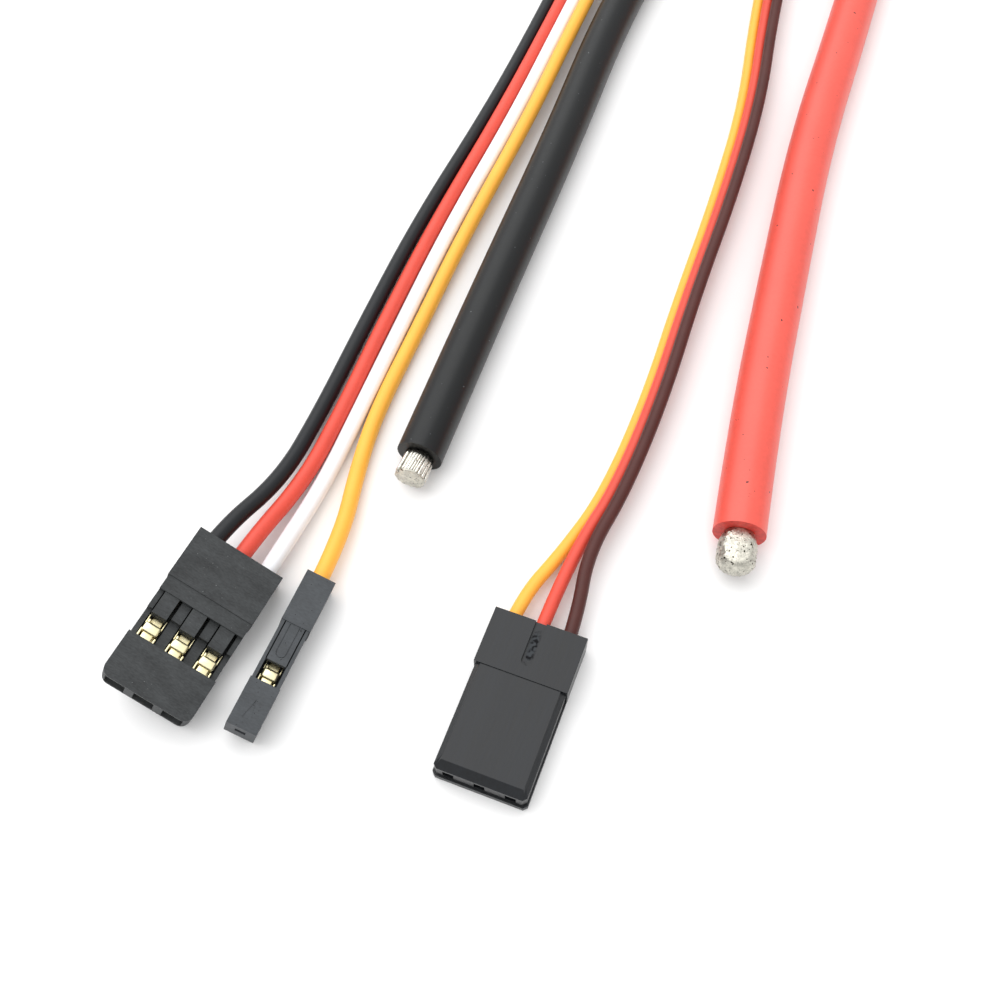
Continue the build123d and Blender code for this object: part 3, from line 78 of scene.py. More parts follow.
RECEIVER_PLACE = plug_matrix(-55.9, -159.6, RECEIVER_TURN, RECEIVER_WIDTH, roll=21.8, nose_up=NOSE_UP)
RPM_PLACE = plug_matrix(-49.25, -161.4, RPM_TURN, PIN_PITCH, roll=16.7, nose_up=NOSE_UP)
SUPPLY_PLACE = plug_matrix(-30.66, -165.62, SUPPLY_TURN)


# ---------------------------------------------------------------- camera

def aim(obj, target):
    """Turns obj's -Z axis towards target, with +Y up in its view."""
    obj.rotation_euler = (target - obj.location).to_track_quat("-Z", "Y").to_euler()


camera_data = bpy.data.cameras.new("camera")
camera_data.lens = LENS
camera_data.sensor_width = SENSOR_WIDTH
camera_data.clip_start = NEAREST_SEEN
camera = bpy.data.objects.new("camera", camera_data)
camera.location = CAMERA_AT
aim(camera, LOOK_AT)
bpy.context.scene.collection.objects.link(camera)
bpy.context.scene.camera = camera


# ---------------------------------------------------------------- materials

DISPLAY_GAMMA = 2.2
RAMP_LOW = 0.3
RAMP_HIGH = 0.7
PATCH_DETAIL = 3
GRAIN_DETAIL = 4
ROUGHNESS_SPREAD = 0.2

# Specks show where their noise is above SPECK_NONE - SPECK_STEP * share, with a rim of SPECK_RIM
SPECK_DETAIL = 1
SPECK_NONE = 0.8
SPECK_STEP = 2
SPECK_RIM = 0.02


def srgb(red, green, blue):
    """Linear colour of a display colour, each channel 0 to 255."""
    return tuple((channel / 255) ** DISPLAY_GAMMA for channel in (red, green, blue))


def scaled(color, factor):
    """The colour times a factor, held below white, with its alpha."""
    return (*(min(channel * factor, 1.0) for channel in color), 1.0)


def add_noise(tree, vector, size, detail):
    """A noise field's output, its features size millimetres across."""
    node = tree.nodes.new("ShaderNodeTexNoise")
    node.inputs["Scale"].default_value = 1 / (size * MM)
    node.inputs["Detail"].default_value = detail
    tree.links.new(vector, node.inputs["Vector"])
    return node.outputs["Fac"]


def add_ramp(tree, factor, stops):
    """A colour ramp's output over factor; stops are pairs of position and colour."""
    node = tree.nodes.new("ShaderNodeValToRGB")
    elements = node.color_ramp.elements
    while len(elements) < len(stops):
        elements.new(0.5)
    for element, (position, color) in zip(elements, stops):
        element.position = position
        element.color = color
    tree.links.new(factor, node.inputs["Fac"])
    return node.outputs["Color"]


def add_drift(tree, factor, color, below, above):
    """A ramp around a colour, from below times it at low noise to above times it at high noise."""
    return add_ramp(tree, factor, [(RAMP_LOW, scaled(color, below)), (RAMP_HIGH, scaled(color, above))])


def add_mix(tree, factor, first, second):
    """First colour socket mixed towards the second, a socket or a colour, by a factor or its socket."""
    node = tree.nodes.new("ShaderNodeMix")
    node.data_type = "RGBA"
    if isinstance(factor, float):
        node.inputs["Factor"].default_value = factor
    else:
        tree.links.new(factor, node.inputs["Factor"])
    tree.links.new(first, node.inputs["A"])
    if isinstance(second, tuple):
        node.inputs["B"].default_value = second
    else:
        tree.links.new(second, node.inputs["B"])
    return node.outputs["Result"]


def surface(name, color, roughness, metallic=0.0, specular=0.5, shade=0.12, patch=2.5, grain=0.25,
            depth=0.006, turn=0.0, stretch=(1, 1, 1), specks=None):
    """A procedural finish: colour drifts over patches and grain, roughness and bump follow the grain.

    patch, grain and depth are in millimetres, shade is the share by which the colour drifts. stretch
    lengthens the grain along the axes of a frame turned about Z. specks are sparse spots: their size in
    millimetres, how many (0.01 is a few, 0.07 is many) and their colour.
    """
    mat = bpy.data.materials.new(name)
    mat.use_nodes = True
    tree = mat.node_tree
    shader = tree.nodes["Principled BSDF"]
    shader.inputs["Metallic"].default_value = metallic
    shader.inputs["Specular IOR Level"].default_value = specular
    coords = tree.nodes.new("ShaderNodeTexCoord")
    place = tree.nodes.new("ShaderNodeMapping")
    place.vector_type = "TEXTURE"
    place.inputs["Rotation"].default_value = (0.0, 0.0, radians(turn))
    place.inputs["Scale"].default_value = stretch
    tree.links.new(coords.outputs["Object"], place.inputs["Vector"])
    vector = place.outputs["Vector"]
    drift = add_noise(tree, vector, patch, PATCH_DETAIL)
    texture = add_noise(tree, vector, grain, GRAIN_DETAIL)
    base = add_drift(tree, drift, color, 1 - shade, 1 + shade)
    fine = add_drift(tree, texture, color, 1 - shade, 1 + shade)
    result = add_mix(tree, 0.5, base, fine)
    if specks:
        size, share, spot_color = specks
        spots = add_noise(tree, coords.outputs["Object"], size, SPECK_DETAIL)
        edge = SPECK_NONE - SPECK_STEP * share
        mask = add_ramp(tree, spots, [(edge, BLACK), (edge + SPECK_RIM, WHITE)])
        result = add_mix(tree, mask, result, (*spot_color, 1.0))
    tree.links.new(result, shader.inputs["Base Color"])
    rough = tree.nodes.new("ShaderNodeMapRange")
    rough.inputs["To Min"].default_value = roughness * (1 - ROUGHNESS_SPREAD)
    rough.inputs["To Max"].default_value = min(roughness * (1 + ROUGHNESS_SPREAD), 1.0)
    tree.links.new(texture, rough.inputs["Value"])
    tree.links.new(rough.outputs["Result"], shader.inputs["Roughness"])
    bump = tree.nodes.new("ShaderNodeBump")
    bump.inputs["Distance"].default_value = depth * MM
    tree.links.new(texture, bump.inputs["Height"])
    tree.links.new(bump.outputs["Normal"], shader.inputs["Normal"])
    return mat


def paint_cut_face_shade(mat, direction, color):
    """Gives the faces that look along direction, where the lead is cut, a darker mottled colour: painted
    shade of the end face.
    """
    along_from = 0.9
    along_full = 0.95
    mark_size = 0.35
    tree = mat.node_tree
    shader = tree.nodes["Principled BSDF"]
    geometry = tree.nodes.new("ShaderNodeNewGeometry")
    facing = tree.nodes.new("ShaderNodeVectorMath")
    facing.operation = "DOT_PRODUCT"
    tree.links.new(geometry.outputs["True Normal"], facing.inputs[0])
    facing.inputs[1].default_value = direction
    mask = add_ramp(tree, facing.outputs["Value"], [(along_from, BLACK), (along_full, WHITE)])
    coords = tree.nodes.new("ShaderNodeTexCoord")
    marks = add_noise(tree, coords.outputs["Object"], mark_size, GRAIN_DETAIL)
    # The cut face's darker colour is painted shade
    cut = add_drift(tree, marks, color, below=0.8, above=1.15)
    before = shader.inputs["Base Color"].links[0].from_socket
    tree.links.new(add_mix(tree, mask, before, cut), shader.inputs["Base Color"])


def paint_groove_shade_and_dull(mat, middle, length, width):
    """Darkens the moulded thumb groove of the smooth plug with painted shade and dulls it, an ellipse
    with a lumpy rim.

    middle, length and width are in millimetres. The patch fades out where the distance from its middle,
    1 at the ellipse's edge, and the noise add up to the two values of fade.
    """
    lump_size = 0.35
    fade = (1.1, 1.5)
    # Painted shade in the groove: its darkest colour, then a lighter one
    deep_shade = (0.38, (0.006, 0.006, 0.007, 1.0))
    bump = (0.55, (0.05, 0.055, 0.06, 1.0))
    dull_specular = 0.05
    tree = mat.node_tree
    shader = tree.nodes["Principled BSDF"]
    coords = tree.nodes.new("ShaderNodeTexCoord")
    place = tree.nodes.new("ShaderNodeMapping")
    place.vector_type = "TEXTURE"
    place.inputs["Location"].default_value = Vector(middle) * MM
    place.inputs["Rotation"].default_value = (0.0, 0.0, radians(SUPPLY_TURN))
    place.inputs["Scale"].default_value = (width / 2 * MM, length / 2 * MM, 1.0)
    tree.links.new(coords.outputs["Object"], place.inputs["Vector"])
    reach = tree.nodes.new("ShaderNodeVectorMath")
    reach.operation = "LENGTH"
    tree.links.new(place.outputs["Vector"], reach.inputs[0])
    lumps = add_noise(tree, coords.outputs["Object"], lump_size, PATCH_DETAIL)
    total = tree.nodes.new("ShaderNodeMath")
    total.operation = "ADD"
    tree.links.new(reach.outputs["Value"], total.inputs[0])
    tree.links.new(lumps, total.inputs[1])
    clear = tree.nodes.new("ShaderNodeMapRange")
    clear.inputs["From Min"].default_value = fade[0]
    clear.inputs["From Max"].default_value = fade[1]
    tree.links.new(total.outputs["Value"], clear.inputs["Value"])
    # The groove's colour is painted shade, mottled by the lumps
    groove_shade = add_ramp(tree, lumps, [deep_shade, bump])
    before = shader.inputs["Base Color"].links[0].from_socket
    tree.links.new(add_mix(tree, clear.outputs["Result"], groove_shade, before), shader.inputs["Base Color"])
    gloss = tree.nodes.new("ShaderNodeMapRange")
    gloss.inputs["To Min"].default_value = dull_specular
    gloss.inputs["To Max"].default_value = shader.inputs["Specular IOR Level"].default_value
    tree.links.new(clear.outputs["Result"], gloss.inputs["Value"])
    tree.links.new(gloss.outputs["Result"], shader.inputs["Specular IOR Level"])


# The frame's plain materials make room for finishes of the same names
for plain in list(bpy.data.materials):
    bpy.data.materials.remove(plain)
DARK_SPECK = srgb(60, 20, 18)
MATERIALS = {mat.name: mat for mat in (
    # leads and wires
    surface("black_silicone", srgb(15, 18, 20), 0.4, specular=0.35, shade=0.22, patch=3, grain=0.3,
            specks=(0.3, 0.015, srgb(90, 94, 96))),
    surface("red_silicone", srgb(224, 86, 73), 0.38, specular=0.5, shade=0.08, patch=5, grain=0.4,
            depth=0.004, specks=(0.4, 0.018, DARK_SPECK)),
    surface("black_wire", srgb(20, 23, 27), 0.42, specular=0.35, shade=0.15, grain=0.2, depth=0.004),
    surface("red_wire", srgb(216, 76, 60), 0.42, specular=0.4, shade=0.08, grain=0.2, depth=0.004),
    surface("white_wire", srgb(236, 238, 242), 0.42, specular=0.4, shade=0.03, grain=0.2, depth=0.004),
    surface("yellow_wire", srgb(248, 176, 66), 0.42, specular=0.4, shade=0.05, grain=0.2, depth=0.004),
    surface("brown_wire", srgb(76, 40, 36), 0.45, specular=0.3, shade=0.15, grain=0.2, depth=0.004),
    surface("tinned_strands", srgb(222, 220, 212), 0.22, 1.0, shade=0.35, patch=0.4, grain=0.1,
            depth=0.015, specks=(0.2, 0.06, srgb(70, 64, 50))),
    surface("soldered_strands", srgb(190, 187, 176), 0.3, 1.0, shade=0.45, patch=0.5, grain=0.14,
            depth=0.06, specks=(0.24, 0.07, srgb(62, 58, 48))),
    # plugs
    surface("receiver_plug", srgb(58, 60, 61), 0.6, specular=0.3, shade=0.5, patch=1.2, grain=0.12,
            depth=0.02, turn=RECEIVER_TURN, stretch=(9, 1, 1), specks=(0.16, 0.012, srgb(120, 122, 122))),
    surface("rpm_plug", srgb(67, 70, 73), 0.55, specular=0.35, shade=0.3, patch=1.5, grain=0.15,
            depth=0.008, turn=RPM_TURN, stretch=(3, 1, 1), specks=(0.2, 0.035, srgb(16, 17, 18))),
    surface("supply_plug", srgb(20, 23, 27), 0.34, specular=0.4, shade=0.6, patch=2.0, grain=0.25,
            depth=0.01, turn=SUPPLY_TURN, stretch=(1, 9, 1), specks=(0.16, 0.03, srgb(9, 9, 10))),
    surface("contact", srgb(255, 240, 196), 0.34, 1.0, shade=0.08, patch=0.6, grain=0.1, depth=0.004),
    # body, outside
    surface("case", srgb(44, 45, 47), 0.6, specular=0.35, shade=0.1, patch=4, grain=0.25, depth=0.02),
    surface("heat_sink", srgb(88, 92, 100), 0.42, 0.85, shade=0.08, patch=6, grain=0.12, depth=0.006,
            stretch=(1, 12, 1)),
    surface("screw", srgb(70, 70, 72), 0.35, 1.0, shade=0.15, patch=0.8, grain=0.1),
    surface("fan_plastic", srgb(34, 35, 36), 0.45, specular=0.4, shade=0.1, patch=3, grain=0.2),
    surface("fan_blades", srgb(40, 41, 43), 0.4, specular=0.45, shade=0.1, patch=3, grain=0.2),
    surface("grommet", srgb(30, 30, 31), 0.75, specular=0.25, shade=0.15, patch=1, grain=0.15,
            depth=0.015),
    surface("socket", srgb(245, 205, 120), 0.28, 1.0, shade=0.08, patch=1.5, grain=0.12,
            stretch=(1, 8, 1)),
    surface("light_pipe", srgb(225, 230, 235), 0.15, specular=0.5, shade=0.04),
    # body, inside
    surface("bearing", srgb(190, 160, 110), 0.4, 1.0, shade=0.15, patch=0.5, grain=0.08),
    surface("stator", srgb(168, 112, 76), 0.4, 1.0, shade=0.2, patch=1, grain=0.25, stretch=(1, 1, 0.4)),
    surface("magnet", srgb(74, 68, 66), 0.7, specular=0.3, shade=0.15, patch=0.8, grain=0.1, depth=0.02),
    surface("shaft", srgb(225, 226, 228), 0.18, 1.0, shade=0.05, patch=0.5, grain=0.08),
    surface("board", srgb(24, 92, 58), 0.3, specular=0.5, shade=0.15, patch=1.2, grain=0.3, depth=0.01),
    surface("chip", srgb(40, 41, 43), 0.55, specular=0.35, shade=0.1, patch=1, grain=0.12, depth=0.01),
    surface("ferrite", srgb(84, 84, 86), 0.65, specular=0.3, shade=0.15, patch=0.8, grain=0.1,
            depth=0.02),
    surface("shunt", srgb(170, 168, 165), 0.45, 1.0, shade=0.12, patch=0.8, grain=0.12),
    surface("light", srgb(240, 240, 225), 0.3, specular=0.5, shade=0.04, patch=0.5),
    surface("thermal_pad", srgb(176, 186, 196), 0.85, specular=0.2, shade=0.08, patch=1.5, grain=0.2,
            depth=0.03),
    surface("header", srgb(34, 34, 35), 0.5, specular=0.35, shade=0.1, patch=0.8),
    surface("capacitor", srgb(52, 54, 66), 0.35, specular=0.45, shade=0.1, patch=2, grain=0.3),
    surface("solder", srgb(205, 205, 203), 0.38, 1.0, shade=0.15, patch=0.5, grain=0.12, depth=0.02),
    surface("socket_holder", srgb(176, 40, 30), 0.5, specular=0.4, shade=0.08, patch=3, grain=0.25),
    surface("mat_floor", (0.9, 0.9, 0.9), 0.9, specular=0.1, shade=0.005, patch=30, grain=2),
)}
GROOVE_MIDDLE = SUPPLY_PLACE @ Vector((0.0, -2.1, 2.7)) / MM
# Painted shade over the supply plug's thumb groove
paint_groove_shade_and_dull(MATERIALS["supply_plug"], GROOVE_MIDDLE, length=3.4, width=0.85)
for part in frame["record"]["subparts"]:
    node = frame["nodes"][part["node"]]
    node.data.materials.clear()
    node.data.materials.append(MATERIALS[part["material_slot"]])


# ---------------------------------------------------------------- edges of the CAD parts

FLAT_WITHIN = radians(0.5)
SHARP_FROM = radians(40)
EDGE_SEGMENTS = 2


def soften(node_name, width):
    """Rounds a CAD node's edges by width millimetres with modifiers; its mesh stays as it is."""
    node = frame["nodes"][node_name]
    flat = node.modifiers.new("flat", "DECIMATE")
    flat.decimate_type = "DISSOLVE"
    flat.angle_limit = FLAT_WITHIN
    bevel = node.modifiers.new("bevel", "BEVEL")
    bevel.width = width * MM
    bevel.segments = EDGE_SEGMENTS
    bevel.limit_method = "ANGLE"
    bevel.angle_limit = SHARP_FROM
    bevel.harden_normals = True
    node.data.shade_smooth()


# Edge widths in millimetres
SOFT_EDGES = {
    "receiver_housing": 0.05, "rpm_housing": 0.05, "supply_housing": 0.12, "case_base": 0.3,
    "heat_sink": 0.15, "case_screws": 0.08, "fan_frame": 0.12, "fan_screws": 0.06, "fan_rotor": 0.05,
    "motor_socket_1": 0.15, "motor_socket_2": 0.15, "motor_socket_3": 0.15, "socket_holder": 0.2,
    "black_lead_grommet": 0.1, "red_lead_grommet": 0.1, "ribbon_grommet": 0.1, "supply_grommet": 0.1,
    "mosfets": 0.1, "supply_inductor": 0.3, "capacitors": 0.1, "fan_stator": 0.08,
}
for node_name, width in SOFT_EDGES.items():
    soften(node_name, width)


# ---------------------------------------------------------------- small pieces

def add_piece(name, mesh_data, slot_name, cad_node):
    """Finishes a bmesh as a piece that stands for a CAD node."""
    mesh = bpy.data.meshes.new(name)
    mesh_data.to_mesh(mesh)
    mesh_data.free()
    mesh.materials.append(MATERIALS[slot_name])
    mesh.shade_smooth()
    obj = bpy.data.objects.new(name, mesh)
    bpy.context.scene.collection.objects.link(obj)
    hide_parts(cad_node)
    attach(obj, BODY)
    return obj


def add_block(mesh_data, low, high, rounding):
    """Adds a block between two corners, its edges rounded."""
    low = Vector(low)
    high = Vector(high)
    place = Matrix.Translation((low + high) / 2) @ Matrix.Diagonal((*(high - low), 1.0))
    made = bmesh.ops.create_cube(mesh_data, size=1.0, matrix=place)
    edges = {edge for vertex in made["verts"] for edge in vertex.link_edges}
    bmesh.ops.bevel(mesh_data, geom=list(edges), offset=rounding, segments=EDGE_SEGMENTS,
                    affect="EDGES", profile=0.5)


def make_contact(name, place, across, box_end):
    """A gilt crimp contact: barrel on the wire, wings, domed spring and the box with its tongue.

    Blocks are (left, right, start, end, bottom, top, rounding) in millimetres, left and right of the
    contact's own middle, start and end counted from the plug's wire end.
    """
    mesh_data = bmesh.new()
    blocks = (
        (-0.60, 0.60, 3.0, 6.7, 0.55, 1.75, 0.25),     # crimped barrel
        (-0.45, 0.45, 6.6, 8.6, 0.55, 0.66, 0.03),      # floor strip under the latch
        (-0.55, 0.55, 8.5, box_end, 0.55, 0.70, 0.03),  # floor of the box
        (-0.74, -0.65, 7.9, 8.7, 0.55, 1.45, 0.03),     # left wing
        (0.64, 0.72, 7.8, 8.7, 0.55, 1.45, 0.03),       # right wing
        (-0.70, 0.68, 8.55, 9.45, 0.60, 1.80, 0.2),     # domed spring
        (-0.62, -0.38, 8.3, 8.8, 1.00, 1.72, 0.08),     # its ear
        (-0.46, 0.42, 9.3, box_end, 1.42, 1.62, 0.05),  # tongue over the pin
        (-0.77, -0.62, 9.2, box_end, 0.55, 1.66, 0.04),  # left wall
        (0.60, 0.75, 9.5, box_end, 0.55, 1.66, 0.04),   # right wall
    )
    for left, right, start, end, bottom, top, rounding in blocks:
        add_block(mesh_data, (across + left, -end, bottom), (across + right, -start, top), rounding)
    mesh_data.transform(place)
    return add_piece(name + "_gilt", mesh_data, "contact", name)


# Front ends of the contacts' boxes, in millimetres from the plugs' wire ends
BOX_END = 13.0
SHORT_BOX_END = 10.9
contacts = {}
for name, place, across, box_end in (
    ("receiver_contact_1", RECEIVER_PLACE, -PIN_PITCH, BOX_END),
    ("receiver_contact_2", RECEIVER_PLACE, 0.0, BOX_END),
    ("receiver_contact_3", RECEIVER_PLACE, PIN_PITCH, BOX_END),
    ("rpm_contact", RPM_PLACE, 0.0, SHORT_BOX_END),
    ("supply_contact_1", SUPPLY_PLACE, -PIN_PITCH, SHORT_BOX_END),
    ("supply_contact_2", SUPPLY_PLACE, 0.0, SHORT_BOX_END),
    ("supply_contact_3", SUPPLY_PLACE, PIN_PITCH, SHORT_BOX_END),
):
    contacts[name] = make_contact(name, place, across, box_end)


# ---------------------------------------------------------------- routes

# In millimetres, from inside the case to the far end, as the CAD has them
BLACK_LEAD = (
    (-5.6, -31.0, 5.6),
    (-5.6, -48.0, 5.6),
    (-9.9, -65.0, 3.6),
    (-15.7, -80.5, 2.1),
    (-22.0, -95.0, 2.1),
    (-27.9, -113.0, 2.1),
    (-35.0, -132.6, 2.1),
    (-41.0, -149.8, 2.1),
)
RED_LEAD = (
    (12.0, -31.0, 5.6),
    (12.0, -48.0, 5.6),
    (11.5, -65.0, 3.8),
    (8.8, -80.5, 2.3),
    (4.0, -95.0, 2.3),
    (-2.5, -113.0, 2.3),
    (-7.6, -131.5, 2.3),
    (-11.6, -146.5, 2.3),
    (-14.0, -157.5, 2.3),
)
RIBBON_BLACK = (
    (-15.8, -32.0, 4.2),
    (-15.8, -48.0, 4.2),
    (-19.2, -63.5, 2.8),
    (-24.3, -79.0, 1.1),
    (-30.3, -95.0, 0.8),
    (-35.3, -107.5, 0.8),
    (-41.9, -122.0, 0.8),
    (-46.7, -134.8, 0.8),
    (-50.1, -144.5, 0.9),
    (-52.75, -152.2, 2.2),
    (-57.13, -157.81, 3.52),
    (-58.88, -161.41, 3.65),
)
RIBBON_RED = (
    (-14.2, -32.0, 4.2),
    (-14.2, -48.0, 4.2),
    (-17.7, -64.0, 3.2),
    (-22.9, -79.6, 1.6),
    (-29.0, -95.6, 1.3),
    (-33.9, -108.0, 1.2),
    (-40.3, -122.5, 0.95),
    (-45.0, -135.0, 0.8),
    (-48.2, -144.4, 0.85),
    (-50.9, -151.9, 1.45),
    (-54.89, -158.6, 2.57),
    (-56.77, -162.46, 2.71),
)
RIBBON_WHITE = (
    (-12.6, -32.0, 4.2),
    (-12.6, -48.0, 4.2),
    (-16.2, -64.5, 3.6),
    (-21.5, -80.2, 2.1),
    (-27.7, -96.2, 1.8),
    (-32.4, -108.5, 1.6),
    (-38.8, -123.0, 1.15),
    (-43.4, -135.3, 0.8),
    (-46.6, -144.3, 0.8),
    (-49.3, -151.9, 0.9),
    (-52.49, -159.02, 1.59),
    (-54.66, -163.52, 1.77),
)
RIBBON_YELLOW = (
    (-11.0, -32.0, 4.2),
    (-11.0, -48.0, 4.2),
    (-14.7, -65.0, 4.0),
    (-20.1, -80.8, 2.6),
    (-26.4, -96.8, 2.3),
    (-30.9, -109.0, 2.0),
    (-37.2, -123.5, 1.35),
    (-41.7, -135.4, 0.8),
    (-45.0, -144.2, 0.8),
    (-46.4, -150.0, 0.8),
    (-47.44, -157.77, 1.37),
    (-50.02, -164.28, 1.62),
)
SUPPLY_YELLOW = (
    (2.2, -32.0, 4.2),
    (2.2, -48.0, 4.2),
    (0.5, -64.0, 2.4),
    (-2.6, -79.2, 0.8),
    (-6.0, -93.6, 0.6),
    (-8.4, -106.2, 0.6),
    (-12.6, -119.6, 0.6),
    (-17.0, -131.8, 0.6),
    (-20.7, -143.0, 0.6),
    (-24.95, -152.9, 0.6),
    (-28.7, -158.4, 0.75),
    (-32.4, -163.05, 1.25),
    (-34.1, -167.52, 1.35),
)
SUPPLY_RED = (
    (3.5, -32.0, 4.2),
    (3.5, -48.0, 4.2),
    (1.7, -64.1, 2.9),
    (-1.5, -79.4, 1.6),
    (-5.1, -94.0, 1.4),
    (-7.6, -106.6, 1.4),
    (-11.9, -120.0, 1.5),
    (-16.3, -132.0, 1.55),
    (-20.1, -143.4, 1.55),
    (-24.0, -152.7, 1.6),
    (-27.1, -157.7, 1.55),
    (-29.8, -163.38, 1.35),
    (-31.73, -168.42, 1.35),
)
SUPPLY_BROWN = (
    (4.8, -32.0, 4.2),
    (4.8, -48.0, 4.2),
    (2.9, -64.2, 3.4),
    (-0.3, -79.6, 2.35),
    (-4.3, -94.4, 2.25),
    (-6.9, -107.0, 2.3),
    (-11.2, -120.4, 2.45),
    (-15.6, -132.2, 2.55),
    (-19.4, -143.8, 2.5),
    (-23.3, -153.3, 2.45),
    (-26.7, -159.2, 2.25),
    (-27.7, -164.6, 1.4),
    (-29.36, -169.33, 1.35),
)


# ---------------------------------------------------------------- bare ends of the battery leads

def end_direction(points):
    """The unit direction in which a route ends."""
    return (Vector(points[-1]) - Vector(points[-2])).normalized()


def end_place(points):
    """From millimetres along a lead's end (z outwards, y up) to the frame's metres."""
    outwards = end_direction(points)
    side = Vector((0.0, 0.0, 1.0)).cross(outwards).normalized()
    up = outwards.cross(side)
    turn = Matrix((side, up, outwards)).transposed().to_4x4()
    return Matrix.Scale(MM, 4) @ Matrix.Translation(points[-1]) @ turn


def close_rings(mesh_data, rings):
    """Joins rings of vertices into a closed skin with a face at each end."""
    sides = len(rings[0])
    for lower, upper in zip(rings, rings[1:]):
        for k in range(sides):
            following = (k + 1) % sides
            mesh_data.faces.new((lower[k], lower[following], upper[following], upper[k]))
    mesh_data.faces.new(reversed(rings[0]))
    mesh_data.faces.new(rings[-1])


STRAND_RADIUS = 0.125
STRAND_SIDES = 7
STRAND_PARTS = 5
STRAND_SHIFT = 0.06
STRAND_SHORTER = 0.12
STRAND_FLARE = (0.02, 0.12)
STRAND_THICKNESS = (0.8, 1.5)
BUNDLE_RADIUS = 1.32
BUNDLE_LENGTH = 2.4
BUNDLE_TWIST = radians(14)


def add_strand(mesh_data, path, radius):
    """Adds a closed tube through a path of points that runs mainly along z."""
    turns = [2 * pi * k / STRAND_SIDES for k in range(STRAND_SIDES)]
    rings = []
    for point in path:
        spots = [point + Vector((radius * cos(turn), radius * sin(turn), 0.0)) for turn in turns]
        rings.append([mesh_data.verts.new(spot) for spot in spots])
    close_rings(mesh_data, rings)


def make_strands(points):
    """The tinned strands of the black lead, a lightly twisted bundle that is cut flat."""
    draw = Random(5)
    mesh_data = bmesh.new()
    steps = int(BUNDLE_RADIUS / STRAND_RADIUS / 2) + 1
    for row in range(-steps, steps + 1):
        for column in range(-steps, steps + 1):
            x = 2 * STRAND_RADIUS * (column + (row % 2) / 2) + draw.uniform(-STRAND_SHIFT, STRAND_SHIFT)
            y = sqrt(3) * STRAND_RADIUS * row + draw.uniform(-STRAND_SHIFT, STRAND_SHIFT)
            reach = sqrt(x * x + y * y)
            length = BUNDLE_LENGTH + draw.uniform(-STRAND_SHORTER, 0.0)
            flare = draw.uniform(*STRAND_FLARE)
            if reach > BUNDLE_RADIUS - STRAND_RADIUS:
                continue
            path = []
            for part in range(STRAND_PARTS + 1):
                share = part / STRAND_PARTS
                angle = BUNDLE_TWIST * share
                wide = 1 + flare * share
                path.append(Vector((wide * (x * cos(angle) - y * sin(angle)),
                                    wide * (x * sin(angle) + y * cos(angle)), length * share)))
            add_strand(mesh_data, path, STRAND_RADIUS * draw.uniform(*STRAND_THICKNESS))
    mesh_data.transform(end_place(points))
    return add_piece("black_lead_strands", mesh_data, "tinned_strands", "black_lead_end")


LATHE_SIDES = 72
FRACTAL_STEPS = (0.8, 2.0, 4)  # roughness, lacunarity and octaves
LENGTHWISE_SHARE = 0.3
FLAT_SQUEEZE = 0.25


def add_lathe(mesh_data, profile, rough, size, flat_top=None):
    """Adds a closed body of revolution about z; profile is radius and height pairs from the base up.

    The surface is pushed in and out by up to about rough, by noise whose features are size across, and
    what is above flat_top is squeezed.
    """
    rings = []
    for radius, height in profile:
        ring = []
        for k in range(LATHE_SIDES):
            angle = 2 * pi * k / LATHE_SIDES
            spot = Vector((radius * cos(angle), radius * sin(angle), height))
            push = rough * noise.fractal(spot / size, *FRACTAL_STEPS)
            spot += Vector((cos(angle), sin(angle), LENGTHWISE_SHARE)) * push
            if flat_top is not None and spot.y > flat_top:
                spot.y = flat_top + FLAT_SQUEEZE * (spot.y - flat_top)
            ring.append(mesh_data.verts.new(spot))
        rings.append(ring)
    close_rings(mesh_data, rings)


def make_cut_plate(points):
    """The smeared solder over the flat cut of the black lead's strands."""
    mesh_data = bmesh.new()
    radius = 1.36
    foot = 0.12
    foot_height = 0.1
    sunk = 0.25
    rim_height = 0.22
    crown = 0.06
    steps = 14
    profile = [(radius - foot, 0.0), (radius, foot_height)]
    for k in range(steps):
        angle = k * pi / 2 / steps
        profile.append((radius * cos(angle), rim_height + crown * sin(angle)))
    add_lathe(mesh_data, profile, rough=0.12, size=0.35)
    shift = Matrix.Translation((0.0, 0.0, BUNDLE_LENGTH - sunk))
    mesh_data.transform(end_place(points) @ shift)
    return add_piece("black_lead_cut", mesh_data, "soldered_strands", "black_lead_end")


def make_solder_tip(points):
    """The red lead's end, dipped in solder: a rounded stub with one bright flat."""
    mesh_data = bmesh.new()
    neck = 1.25
    belly = 1.62
    belly_start = 1.3
    crown_start = 2.5
    length = 3.7
    swell_steps = 10
    belly_steps = 12
    crown_steps = 13
    profile = []
    for k in range(swell_steps + 1):
        share = k / swell_steps
        profile.append((neck + (belly - neck) * sin(share * pi / 2), belly_start * share))
    for k in range(1, belly_steps + 1):
        profile.append((belly, belly_start + (crown_start - belly_start) * k / belly_steps))
    for k in range(1, crown_steps):
        angle = k * pi / 2 / crown_steps
        profile.append((belly * cos(angle), crown_start + (length - crown_start) * sin(angle)))
    add_lathe(mesh_data, profile, rough=0.1, size=0.3, flat_top=1.2)
    mesh_data.transform(end_place(points))
    return add_piece("red_lead_solder", mesh_data, "soldered_strands", "red_lead_end")


# ---------------------------------------------------------------- leads

# The leads' radii, in millimetres
BLACK_RADIUS = 2.05
RED_RADIUS = 2.25
RIBBON_WIRE_RADIUS = 0.725
SUPPLY_WIRE_RADIUS = 0.575
STEPS_ALONG = 24
STEPS_AROUND = 12


